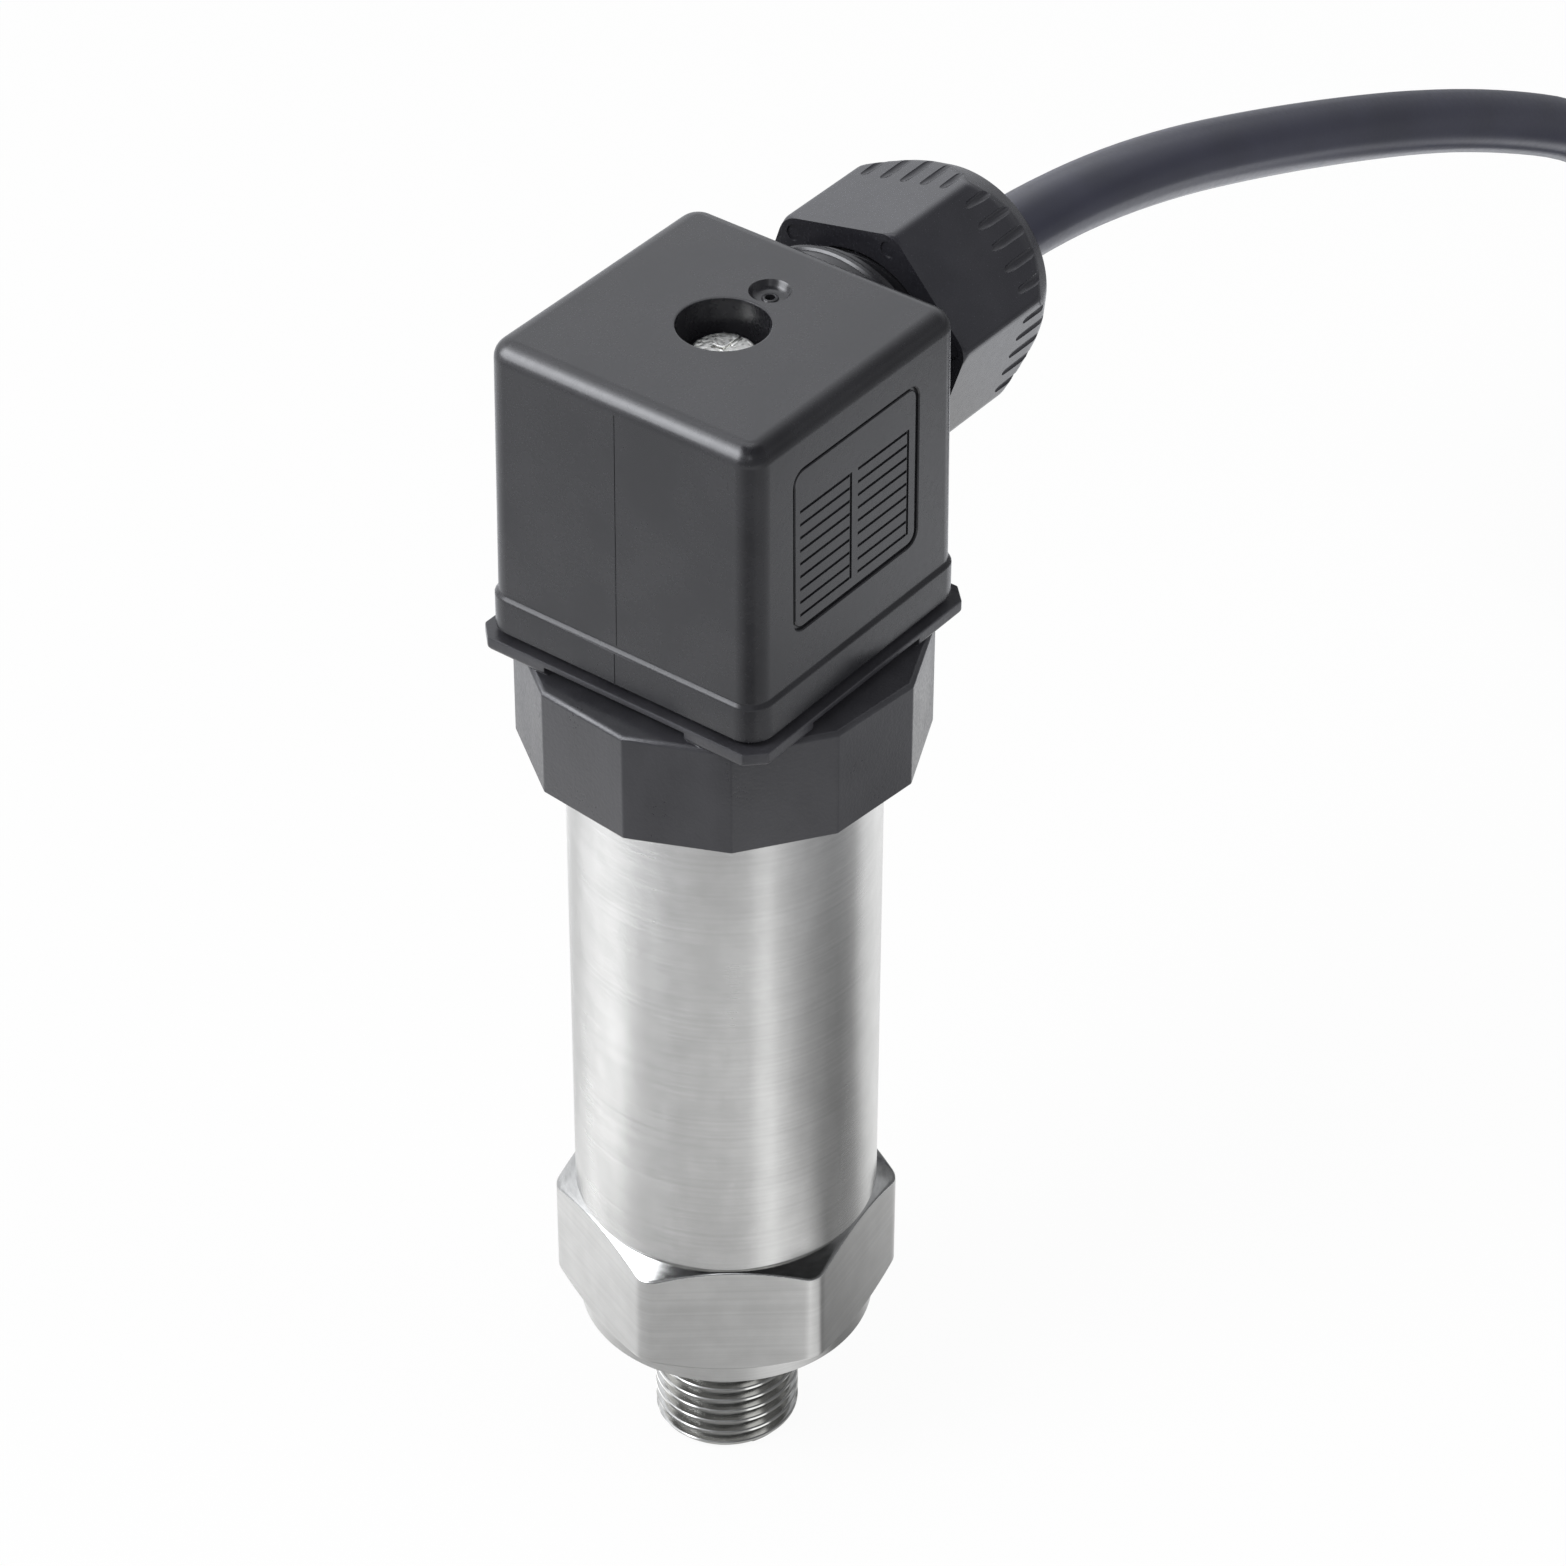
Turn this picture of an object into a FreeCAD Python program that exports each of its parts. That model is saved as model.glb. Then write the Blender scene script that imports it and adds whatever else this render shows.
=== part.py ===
"""Pressure transmitter with a screwed-on right-angle plug, a cable gland and its cable.

Millimetres. +Z runs up the body, +X is the way the cable leaves, and the origin lies on the axis
in the sealing face under the wrench hexagon, so the process thread is below z = 0.
"""
import FreeCAD, Part

import math
import os

from FreeCAD import Vector

# Process fitting: a G 1/4 thread, a 27 mm hexagon and a spigot that the housing tube sits on
thread_radius = 6.58
thread_length = 15.0
thread_end_chamfer = 0.7
relief_depth = 1.0
relief_length = 2.0
port_radius = 2.0
port_mouth_chamfer = 0.6
seal_face_radius = 13.3
seal_collar_height = 1.85
hex_flats = 27.0
hex_corner_radius = 15.25
hex_height = 13.5
hex_turn = 9.2
hex_chamfer_angle = 30.0
shoulder_inset = 0.5
spigot_height = 6.2

# Housing tube
tube_radius = 13.5
tube_wall = 1.5
tube_edge = 0.35
tube_overlap = 6.2

# Sensor cell and its seat inside the fitting
cell_radius = 9.0
cell_thickness = 6.35
cell_seat = 7.0
diaphragm_radius = 4.6
diaphragm_gap = 0.3
port_chamber_radius = 5.0
port_chamber_depth = 1.5
seal_ring_radius = 7.0
seal_ring_section = 0.9
lock_ring_height = 3.0
lock_ring_bore = 6.4
lock_slot_width = 1.6
lock_slot_depth = 1.2

# Circuit board in the tube
board_width = 15.0
board_thickness = 1.6
board_insertion = 1.5
holder_height = 3.0
holder_window = 7.0
flex_width = 6.0
flex_thickness = 0.3
flex_overlap = 6.0
lead_radius = 0.4
lead_reach = 9.0
lead_stand_off = 1.6
lead_pad_place = 5.5
chip_rise = 10.5
chip_width = 10.4
chip_length = 7.5
chip_thickness = 2.4
regulator_rise = 19.5
regulator_place = -4.0
regulator_width = 5.0
regulator_length = 3.5
regulator_thickness = 1.6
choke_rise = 12.5
choke_place = 4.0
choke_width = 5.0
choke_thickness = 2.6
can_rise = 18.5
can_place = -3.5
can_radius = 3.1
can_length = 5.4

# Connector base: a twelve-sided collar, a square flange with four ears, and a plug spigot
collar_radius = 17.55
collar_turn = 9.57
collar_bottom = 63.8
collar_height = 10.35
collar_edge = 0.3
flange_half = 14.7
flange_thickness = 1.4
ear_chamfer = 1.5
ear_under_bevel = 0.35
recess_length = 14.4
recess_height = 0.85
recess_depth = 1.3
spigot_drop = 5.8
spigot_groove_place = 3.0
spigot_groove_width = 2.2
spigot_ring_section = 0.75

# Contacts
blade_circle = 9.0
blade_width = 6.3
blade_thickness = 0.8
blade_reach = 12.0
blade_root = 4.0
tail_width = 1.4
tail_drop = 3.0

# Plug cap
skirt_half = 14.05
skirt_corner = 2.3
skirt_gap = 0.45
skirt_height = 3.3
ledge_rise = 0.35
cap_foot_half = 13.75
cap_draft = 0.22
cap_corner = 2.0
cap_height = 27.65
cap_top_fillet = 1.7
cap_wall = 2.3
cap_roof = 2.8
gasket_inset = 1.15
gasket_thickness = 1.35
screw_well_radius = 3.83
screw_boss_wall = 1.8
small_well_place = 6.15
small_well_radius = 1.65
small_well_depth = 0.75
small_well_pin = 0.44
small_pin_depth = 1.2

# Rating panel on the -Y face: a shallow rounded field with two columns of lines
panel_left = -8.6
panel_right = 8.0
panel_rise = 8.0
panel_height = 15.4
panel_corner = 1.3
panel_depth = 0.3
line_columns = ((-7.66, -1.15), (-0.05, 6.5))
line_count = 9
line_pitch = 1.24
line_width = 0.25
line_depth = 0.2
line_margin = 1.3

# Centre screw, an M3 with a cheese head, and its seal washer
screw_radius = 1.45
screw_head_radius = 2.75
screw_head_height = 2.0
screw_head_sink = 2.45
screw_head_edge = 0.4
screw_slot_width = 0.8
screw_slot_depth = 1.0
screw_cross_length = 3.3
screw_cross_depth = 1.4
screw_point = 0.4
screw_grip = 4.0
screw_washer_radius = 3.2
screw_washer_thickness = 0.5
nut_insert_radius = 2.4
nut_insert_length = 7.5

# Terminal insert inside the cap
insert_height = 11.5
clamp_inner = 4.6
clamp_outer = 10.5
clamp_width = 7.4
clamp_height = 8.6
clamp_screw_place = 6.5
clamp_screw_radius = 1.25
clamp_screw_head = 2.1
clamp_screw_length = 4.5
clamp_screw_rise = 1.2
clamp_slot_width = 0.6
shaft_boss_radius = 3.4
well_floor = 2.0

# Cable gland on the +X face, its axis measured from the cap's lower edge
gland_rise = 17.54
gland_height = collar_bottom + collar_height + flange_thickness + skirt_gap + gland_rise
gland_boss_radius = 9.1
gland_boss_end = 16.4
gland_neck_radius = 7.6
gland_neck_wall = 1.5
gland_neck_length = 9.0
nut_front = 17.95
nut_flats = 19.7
nut_hex_length = 10.4
nut_length = 15.6
nut_turn = 18.14
nut_face_chamfer = 0.3
nut_shoulder_length = 1.15
nut_shoulder_radius = 10.7
nut_dome_radius = 7.0
nut_mouth_radius = 4.3
nut_floor_place = 10.3
flute_count = 5
flute_width = 0.75
flute_depth = 0.55
flute_length = 4.2
flute_on_flat = 1.75
flute_pitch = 2.06
grommet_flange_radius = 7.1
grommet_cone = 2.0
gland_washer_thickness = 1.0
gland_washer_radius = 7.3
gland_washer_bore = 3.9

# Cable, with its route in the plane y = 0 from inside the cap to the hank
cable_radius = 3.1
cable_length = 1500.0
cable_inner_end = 11.2
cable_route = (
    (cable_inner_end, gland_height),
    (34.3, gland_height),
    (57.6, 90.1),
    (86.5, 80.3),
    (119.0, 67.1),
    (150.0, 50.5),
    (166.0, 28.0),
    (181.0, 9.5),
    (206.0, 4.4),
    (232.0, 0.5),
)
hank_bend_radius = 19.8
hank_straight = 48.0
hank_turns_across = 2
hank_turns_high = 3
tail_length = 26.0
tail_turn = 9.0
tie_width = 5.0
tie_thickness = 0.8
core_radius = 0.75
inner_core_radius = 0.6
core_length = 16.0
core_spread = 14.0
core_droop = 0.08
core_offset = 1.7
ferrule_radius = 0.5
ferrule_length = 8.0
ferrule_collar_radius = 1.1
ferrule_collar_length = 3.0

# Clearances
running_gap = 0.05
seat_gap = 0.1
slot_gap = 0.15
cable_gap = 0.35

# Sizes and heights that follow from the ones above
hex_slope = math.tan(math.radians(hex_chamfer_angle))
shoulder_z = hex_height + shoulder_inset * hex_slope
spigot_top = shoulder_z + spigot_height
tube_bore = tube_radius - tube_wall
tube_top = collar_bottom + tube_overlap
cell_top = cell_seat + cell_thickness
lock_ring_top = cell_top + lock_ring_height
base_spigot_bottom = collar_bottom - spigot_drop
board_bottom = spigot_top + holder_height - board_insertion
board_top = base_spigot_bottom + board_insertion
collar_top = collar_bottom + collar_height
flange_top = collar_top + flange_thickness
skirt_bottom = flange_top + skirt_gap
skirt_top = skirt_bottom + skirt_height
cap_top = skirt_bottom + cap_height
panel_foot = skirt_bottom + panel_rise
panel_head = panel_foot + panel_height
line_foot = panel_foot + line_margin
gasket_top = flange_top + gasket_thickness
cap_top_half = cap_foot_half - cap_draft
cavity_half = cap_foot_half - cap_wall
cavity_bottom = gasket_top + seat_gap
cavity_top = cap_top - cap_roof
insert_top = cavity_bottom + insert_height
screw_head_top = cap_top - screw_head_sink
screw_head_bottom = screw_head_top - screw_head_height
washer_top = screw_head_bottom - running_gap
washer_bottom = washer_top - screw_washer_thickness
screw_tip = flange_top - screw_grip
blade_top = flange_top + blade_reach
neck_end = gland_boss_end + gland_neck_length
neck_bore = gland_neck_radius - gland_neck_wall
nut_floor = nut_front + nut_floor_place
nut_end = nut_front + nut_length
nut_hex_end = nut_front + nut_hex_length
nut_corner = nut_flats / math.sqrt(3)
nut_flat_turn = nut_turn - 30.0
gland_washer_outer = nut_floor - running_gap
gland_washer_inner = gland_washer_outer - gland_washer_thickness
grommet_end = gland_washer_inner - running_gap
clamp_screw_top = insert_top + clamp_screw_rise
floor_z = -thread_length
hank_height = 2 * cable_radius * hank_turns_high
hank_half_width = cable_radius * hank_turns_across
inner_turn_radius = hank_bend_radius - hank_half_width + cable_radius
outer_turn_radius = hank_bend_radius + hank_half_width - cable_radius
hank_x = cable_route[-1][0] - hank_straight
hank_y = -inner_turn_radius
tail_way = Vector(-math.cos(math.radians(tail_turn)), math.sin(math.radians(tail_turn)), 0)
tail_start = Vector(hank_x, hank_y - outer_turn_radius, floor_z + cable_radius)


def disc(radius, low, high):
    """A cylinder about the Z axis."""
    return Part.makeCylinder(radius, high - low, Vector(0, 0, low))


def rod_x(radius, start, end, height=gland_height):
    """A cylinder along X, on the gland's axis unless another height is given."""
    return Part.makeCylinder(radius, end - start, Vector(start, 0, height), Vector(1, 0, 0))


def block(x0, x1, y0, y1, z0, z1):
    """A box between two corners."""
    return Part.makeBox(x1 - x0, y1 - y0, z1 - z0, Vector(x0, y0, z0))


def turned_z(outline):
    """A solid turned about Z from (radius, height) points."""
    points = [Vector(radius, 0, height) for radius, height in outline]
    face = Part.Face(Part.makePolygon(points + points[:1]))
    return face.revolve(Vector(0, 0, 0), Vector(0, 0, 1), 360)


def turned_x(outline):
    """A solid turned about the gland's axis from (x, radius) points."""
    points = [Vector(x, 0, gland_height + radius) for x, radius in outline]
    face = Part.Face(Part.makePolygon(points + points[:1]))
    return face.revolve(Vector(0, 0, gland_height), Vector(1, 0, 0), 360)


def polygon_prism(radius, sides, turn, low, high):
    """An upright prism on a regular polygon of the given corner radius."""
    corners = []
    for side in range(sides):
        angle = math.radians(turn + 360.0 * side / sides)
        corners.append(Vector(radius * math.cos(angle), radius * math.sin(angle), low))
    face = Part.Face(Part.makePolygon(corners + corners[:1]))
    return face.extrude(Vector(0, 0, high - low))


def rounded_square(half, corner, height):
    """A closed wire: a square of the given half side with round corners."""
    flat = half - corner
    diagonal = corner * math.sqrt(0.5)
    edges = []
    for quarter in range(4):
        turn = FreeCAD.Rotation(Vector(0, 0, 1), 90.0 * quarter)
        side_start = turn.multVec(Vector(half, -flat, 0))
        side_end = turn.multVec(Vector(half, flat, 0))
        arc_middle = turn.multVec(Vector(flat + diagonal, flat + diagonal, 0))
        arc_end = turn.multVec(Vector(flat, half, 0))
        edges.append(Part.makeLine(side_start, side_end))
        edges.append(Part.Arc(side_end, arc_middle, arc_end).toShape())
    wire = Part.Wire(edges)
    wire.translate(Vector(0, 0, height))
    return wire


def rounded_block(half, corner, low, high):
    """A square block with round upright edges."""
    return Part.Face(rounded_square(half, corner, low)).extrude(Vector(0, 0, high - low))


def around(shape, count, step=90.0):
    """Copies of a shape, turned about Z."""
    copies = []
    for index in range(count):
        copy = shape.copy()
        copy.rotate(Vector(0, 0, 0), Vector(0, 0, 1), step * index)
        copies.append(copy)
    return copies


def cut_all(body, tools):
    """The body less every tool."""
    for tool in tools:
        body = body.cut(tool)
    return body


def fused(shapes):
    """One solid from shapes that share volume or faces."""
    body = shapes[0].multiFuse(shapes[1:])
    return body.removeSplitter()


def rounded_path(points):
    """Straight runs joined by tangent arcs, as large as the runs at each point allow."""
    edges = []
    radii = []
    start = points[0]
    for before, corner, after in zip(points, points[1:], points[2:]):
        run_in = corner - before
        run_out = after - corner
        half_turn = run_in.getAngle(run_out) / 2
        reach = 0.45 * min(run_in.Length, run_out.Length)
        radius = reach / math.tan(half_turn)
        into = Vector(run_in).normalize()
        out_of = Vector(run_out).normalize()
        arc_start = corner - into * reach
        arc_end = corner + out_of * reach
        bisector = (out_of - into).normalize()
        centre = corner + bisector * (radius / math.cos(half_turn))
        arc_middle = centre - bisector * radius
        edges.append(Part.LineSegment(start, arc_start).toShape())
        edges.append(Part.Arc(arc_start, arc_middle, arc_end).toShape())
        radii.append(radius)
        start = arc_end
    edges.append(Part.LineSegment(start, points[-1]).toShape())
    return Part.Wire(edges), radii


def tube_along(points, radius, name):
    """A solid round cord along rounded runs, with its bend radii and volume printed."""
    path, radii = rounded_path(points)
    first = points[1] - points[0]
    circle = Part.Wire(Part.makeCircle(radius, points[0], first))
    tube = path.makePipeShell([circle], True, True)
    expected = math.pi * radius ** 2 * path.Length
    smallest = min(radii) if radii else 0.0
    print(f"{name}: length {path.Length:.1f}, smallest bend {smallest:.1f},",
          f"volume {tube.Volume:.1f} of {expected:.1f}")
    return tube


def process_fitting():
    """The turned fitting: thread blank, hexagon, spigot and the cell's stepped bore."""
    corner_rise = (hex_corner_radius - seal_face_radius) * hex_slope
    head_drop = (hex_corner_radius - tube_radius) * hex_slope
    envelope = turned_z((
        (0, 0),
        (seal_face_radius, 0),
        (seal_face_radius, seal_collar_height),
        (hex_corner_radius, seal_collar_height + corner_rise),
        (hex_corner_radius, hex_height - head_drop),
        (tube_radius - shoulder_inset, shoulder_z),
        (0, shoulder_z),
    ))
    hexagon = polygon_prism(hex_flats / math.sqrt(3), 6, hex_turn, 0, shoulder_z)
    head = envelope.common(hexagon)
    thread = turned_z((
        (0, -thread_length),
        (thread_radius - thread_end_chamfer, -thread_length),
        (thread_radius, -thread_length + thread_end_chamfer),
        (thread_radius, -relief_length - relief_depth),
        (thread_radius - relief_depth, -relief_length),
        (thread_radius - relief_depth, 0.5),
        (0, 0.5),
    ))
    spigot = disc(tube_bore - running_gap, shoulder_z - 1, spigot_top)
    body = fused([head, thread, spigot])
    groove_floor = cell_seat - 2 * seal_ring_section
    bore = turned_z((
        (0, -thread_length - 1),
        (port_radius + port_mouth_chamfer + 1, -thread_length - 1),
        (port_radius, -thread_length + port_mouth_chamfer),
        (port_radius, cell_seat - port_chamber_depth),
        (port_chamber_radius, cell_seat - port_chamber_depth),
        (port_chamber_radius, cell_seat),
        (seal_ring_radius - seal_ring_section, cell_seat),
        (seal_ring_radius - seal_ring_section, groove_floor),
        (seal_ring_radius + seal_ring_section, groove_floor),
        (seal_ring_radius + seal_ring_section, cell_seat),
        (cell_radius + running_gap, cell_seat),
        (cell_radius + running_gap, spigot_top + 1),
        (0, spigot_top + 1),
    ))
    return body.cut(bore)


def sensor_o_ring():
    """The soft seal that the cell is pressed on."""
    section = seal_ring_section - running_gap
    centre = cell_seat - section
    return Part.makeTorus(seal_ring_radius, section, Vector(0, 0, centre))


def sensor_cell():
    """A ceramic cell, with a shallow hollow over its diaphragm."""
    cell = disc(cell_radius, cell_seat, cell_top)
    hollow = disc(diaphragm_radius, cell_seat - 1, cell_seat + diaphragm_gap)
    return cell.cut(hollow)


def sensor_lock_ring():
    """The ring that holds the cell down, with two spanner slots."""
    ring = disc(cell_radius, cell_top, lock_ring_top)
    ring = ring.cut(disc(lock_ring_bore, cell_top - 1, lock_ring_top + 1))
    slot = block(-cell_radius - 1, cell_radius + 1, -lock_slot_width / 2, lock_slot_width / 2,
                 lock_ring_top - lock_slot_depth, lock_ring_top + 1)
    return ring.cut(slot)


def housing_tube():
    """The steel tube from the fitting's shoulder up into the collar."""
    return turned_z((
        (tube_bore, shoulder_z),
        (tube_radius - tube_edge, shoulder_z),
        (tube_radius, shoulder_z + tube_edge),
        (tube_radius, tube_top - tube_edge),
        (tube_radius - tube_edge, tube_top),
        (tube_bore, tube_top),
    ))


def housing_o_ring():
    """The seal between the plug spigot and the tube."""
    place = base_spigot_bottom + spigot_groove_place + spigot_groove_width / 2
    return Part.makeTorus(tube_bore - running_gap - spigot_ring_section, spigot_ring_section,
                          Vector(0, 0, place))


def board_holder():
    """The plastic ring on the fitting's spigot that keeps the board upright."""
    ring = disc(tube_bore - running_gap, spigot_top, spigot_top + holder_height)
    window = disc(holder_window, spigot_top - 1, board_bottom)
    slot = block(-board_width / 2, board_width / 2, -board_thickness / 2, board_thickness / 2,
                 board_bottom, spigot_top + holder_height + 1)
    way = block(-flex_width / 2 - slot_gap, flex_width / 2 + slot_gap,
                -board_thickness / 2 - flex_thickness - slot_gap, board_thickness / 2,
                spigot_top - 1, spigot_top + holder_height + 1)
    return cut_all(ring, [window, slot, way])


def circuit_board():
    """The amplifier board, upright between the holder and the plug spigot."""
    return block(-board_width / 2, board_width / 2, -board_thickness / 2, board_thickness / 2,
                 board_bottom, board_top)


def board_components():
    """Chips, a capacitor and a choke on the two faces of the board."""
    face = board_thickness / 2
    chip_low = board_bottom + chip_rise
    chip = block(-chip_width / 2, chip_width / 2, face, face + chip_thickness,
                 chip_low, chip_low + chip_length)
    regulator_low = board_bottom + regulator_rise
    regulator = block(regulator_place - regulator_width / 2, regulator_place + regulator_width / 2,
                      face, face + regulator_thickness,
                      regulator_low, regulator_low + regulator_length)
    choke_low = board_bottom + choke_rise
    choke = block(choke_place - choke_width / 2, choke_place + choke_width / 2,
                  -face - choke_thickness, -face, choke_low, choke_low + choke_width)
    can = Part.makeCylinder(can_radius, can_length,
                            Vector(can_place, -face, board_bottom + can_rise), Vector(0, -1, 0))
    return Part.makeCompound([chip, regulator, choke, can])


def sensor_flex_lead():
    """The flat lead from the cell to the lower end of the board."""
    back = -board_thickness / 2
    return block(-flex_width / 2, flex_width / 2, back - flex_thickness, back,
                 cell_top, board_bottom + flex_overlap)


def contact_blade(index):
    """A flat pin with a narrow tail; the four stand in a circle, a quarter turn apart."""
    half = blade_thickness / 2
    root = flange_top - blade_root
    blade = block(blade_circle - half, blade_circle + half, -blade_width / 2, blade_width / 2,
                  root, blade_top)
    top_edges = [edge for edge in blade.Edges
                 if abs(edge.BoundBox.ZMin - blade_top) < 1e-6
                 and edge.BoundBox.YLength > blade_width / 2]
    blade = blade.makeChamfer(blade_thickness * 0.35, top_edges)
    tail = block(blade_circle - half, blade_circle + half, -tail_width / 2, tail_width / 2,
                 base_spigot_bottom - tail_drop, root)
    return around(fused([blade, tail]), 4)[index]


def board_leads():
    """Wires from the tails of the blades to pads on the board's faces."""
    leads = []
    face = board_thickness / 2
    tail_end = base_spigot_bottom - tail_drop
    for index in range(4):
        side = 1 if index in (0, 1) else -1
        angle = math.radians(90.0 * index)
        start = Vector(blade_circle * math.cos(angle), blade_circle * math.sin(angle), tail_end)
        pad = lead_pad_place if index in (0, 3) else -lead_pad_place
        off_board = side * (face + lead_stand_off)
        beside = off_board if index in (0, 2) else start.y
        bend_out = Vector(start.x, beside, tail_end - lead_reach * 0.35)
        bend_in = Vector(pad, off_board, tail_end - lead_reach * 0.7)
        end = Vector(pad, side * (face + lead_radius), tail_end - lead_reach)
        leads.append(tube_along([start, bend_out, bend_in, end], lead_radius, f"lead {index}"))
    return Part.makeCompound(leads)


def connector_base():
    """The moulded base: collar, eared flange and the spigot that plugs into the tube."""
    collar = polygon_prism(collar_radius, 12, collar_turn, collar_bottom, collar_top)
    rims = [edge for edge in collar.Edges if edge.BoundBox.ZLength < 1e-6
            and edge.BoundBox.ZMin > collar_top - 1e-6]
    collar = collar.makeChamfer(collar_edge, rims)
    flange = block(-flange_half, flange_half, -flange_half, flange_half, collar_top, flange_top)
    ears = [edge for edge in flange.Edges if edge.BoundBox.ZLength > flange_thickness / 2]
    flange = flange.makeChamfer(ear_chamfer, ears)
    under = [edge for edge in flange.Edges if edge.BoundBox.ZMax < collar_top + 1e-6]
    flange = flange.makeChamfer(ear_under_bevel, under)
    recess = block(-recess_length / 2, recess_length / 2, flange_half - recess_depth,
                   flange_half + 1, collar_top, collar_top + recess_height)
    ends = [edge for edge in recess.Edges if edge.BoundBox.ZLength > recess_height / 2
            and edge.BoundBox.YMax < flange_half]
    recess = recess.makeFillet(recess_depth * 0.9, ends)
    flange = cut_all(flange, around(recess, 4))
    plug = disc(tube_bore - running_gap, base_spigot_bottom, collar_bottom + 1)
    body = fused([collar, flange, plug])
    tube_slot = disc(tube_radius + running_gap, collar_bottom - 1, tube_top)
    tube_slot = tube_slot.cut(disc(tube_bore - running_gap, collar_bottom - 2, tube_top + 1))
    groove_low = base_spigot_bottom + spigot_groove_place
    groove = disc(tube_bore + 1, groove_low, groove_low + spigot_groove_width)
    groove_floor = tube_bore - 2 * running_gap - 2 * spigot_ring_section
    groove = groove.cut(disc(groove_floor, groove_low - 1, groove_low + spigot_groove_width + 1))
    board_slot = block(-board_width / 2, board_width / 2, -board_thickness / 2,
                       board_thickness / 2, base_spigot_bottom - 1, board_top)
    nut_seat = disc(nut_insert_radius, flange_top - nut_insert_length, flange_top + 1)
    blades = [contact_blade(index) for index in range(4)]
    return cut_all(body, [tube_slot, groove, board_slot, nut_seat] + blades)


def screw_insert():
    """The threaded brass insert for the centre screw."""
    body = disc(nut_insert_radius, flange_top - nut_insert_length, flange_top)
    bore = disc(screw_radius + running_gap, flange_top - nut_insert_length + 1, flange_top + 1)
    return body.cut(bore)


def base_gasket():
    """The flat seal between the base and the cap, with windows for blades and screw."""
    half = skirt_half - gasket_inset
    sheet = rounded_block(half, skirt_corner - gasket_inset, flange_top, gasket_top)
    window = block(blade_circle - blade_thickness / 2 - slot_gap,
                   blade_circle + blade_thickness / 2 + slot_gap,
                   -blade_width / 2 - slot_gap, blade_width / 2 + slot_gap,
                   flange_top - 1, gasket_top + 1)
    middle = disc(nut_insert_radius, flange_top - 1, gasket_top + 1)
    return cut_all(sheet, around(window, 4) + [middle])


def cap_shell():
    """The outside of the plug cap: stepped skirt, drafted walls and a rounded top."""
    skirt = rounded_block(skirt_half, skirt_corner, skirt_bottom, skirt_top)
    ledge = Part.makeLoft([rounded_square(skirt_half, skirt_corner, skirt_top),
                           rounded_square(cap_foot_half, cap_corner, skirt_top + ledge_rise)],
                          True, True)
    walls = Part.makeLoft([rounded_square(cap_foot_half, cap_corner, skirt_top),
                           rounded_square(cap_top_half, cap_corner, cap_top)], True, True)
    rim = [edge for edge in walls.Edges if edge.BoundBox.ZMin > cap_top - 1e-4]
    walls = walls.makeFillet(cap_top_fillet, rim)
    return fused([skirt, ledge, walls])


def rating_panel():
    """The shallow rounded field on the -Y face."""
    width = panel_right - panel_left
    height = panel_head - panel_foot
    outside = cap_foot_half + 2
    field = block(panel_left, panel_right, -outside, -cap_top_half - 0.1 + panel_depth,
                  panel_foot, panel_head)
    uprights = [edge for edge in field.Edges
                if edge.BoundBox.YLength > 1 and edge.BoundBox.XLength < width / 2
                and edge.BoundBox.ZLength < height / 2]
    return field.makeFillet(panel_corner, uprights)


def rating_lines():
    """Two columns of fine grooves in the panel."""
    floor = -cap_top_half - 0.1 + panel_depth
    grooves = []
    for left, right in line_columns:
        for index in range(line_count):
            low = line_foot + line_pitch * index
            grooves.append(block(left, right, floor - 1, floor + line_depth,
                                 low, low + line_width))
    return grooves


def connector_cap():
    """The plug cap, open below, with its screw well, gland neck and rating panel."""
    boss = rod_x(gland_boss_radius, cap_top_half - 3, gland_boss_end)
    face_edges = [edge for edge in boss.Edges if edge.BoundBox.XMin > gland_boss_end - 1e-6]
    boss = boss.makeFillet(0.4, face_edges)
    neck = rod_x(gland_neck_radius, cap_top_half - 1, neck_end)
    body = fused([cap_shell(), boss, neck])
    cavity = rounded_block(cavity_half, cap_corner / 2, cavity_bottom - 5, cavity_top)
    well_boss = disc(screw_well_radius + screw_boss_wall, washer_bottom - well_floor, cavity_top)
    shaft_boss = disc(shaft_boss_radius, insert_top, cavity_top)
    cavity = cut_all(cavity, [well_boss, shaft_boss])
    gasket_room = rounded_block(skirt_half - gasket_inset + seat_gap, skirt_corner - gasket_inset,
                                skirt_bottom - 1, cavity_bottom)
    well = disc(screw_well_radius, washer_bottom, cap_top + 1)
    well_rim = [edge for edge in well.Edges if edge.BoundBox.ZMax < washer_bottom + 1e-6]
    well = well.makeFillet(0.3, well_rim)
    shaft_way = disc(screw_radius + 2 * slot_gap, insert_top - 1, cap_top)
    small_well = Part.makeCylinder(small_well_radius, small_well_depth + 1,
                                   Vector(small_well_place, 0, cap_top - small_well_depth))
    pin_floor = cap_top - small_well_depth - small_pin_depth
    pin_hole = Part.makeCylinder(small_well_pin, cap_top - pin_floor,
                                 Vector(small_well_place, 0, pin_floor))
    entry = rod_x(neck_bore, gland_boss_end, neck_end + 1)
    way_in = rod_x(cable_radius + cable_gap, cavity_half - 2, gland_boss_end)
    return cut_all(body, [cavity, gasket_room, well, shaft_way, small_well, pin_hole, entry,
                          way_in, rating_panel()] + rating_lines())


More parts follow.
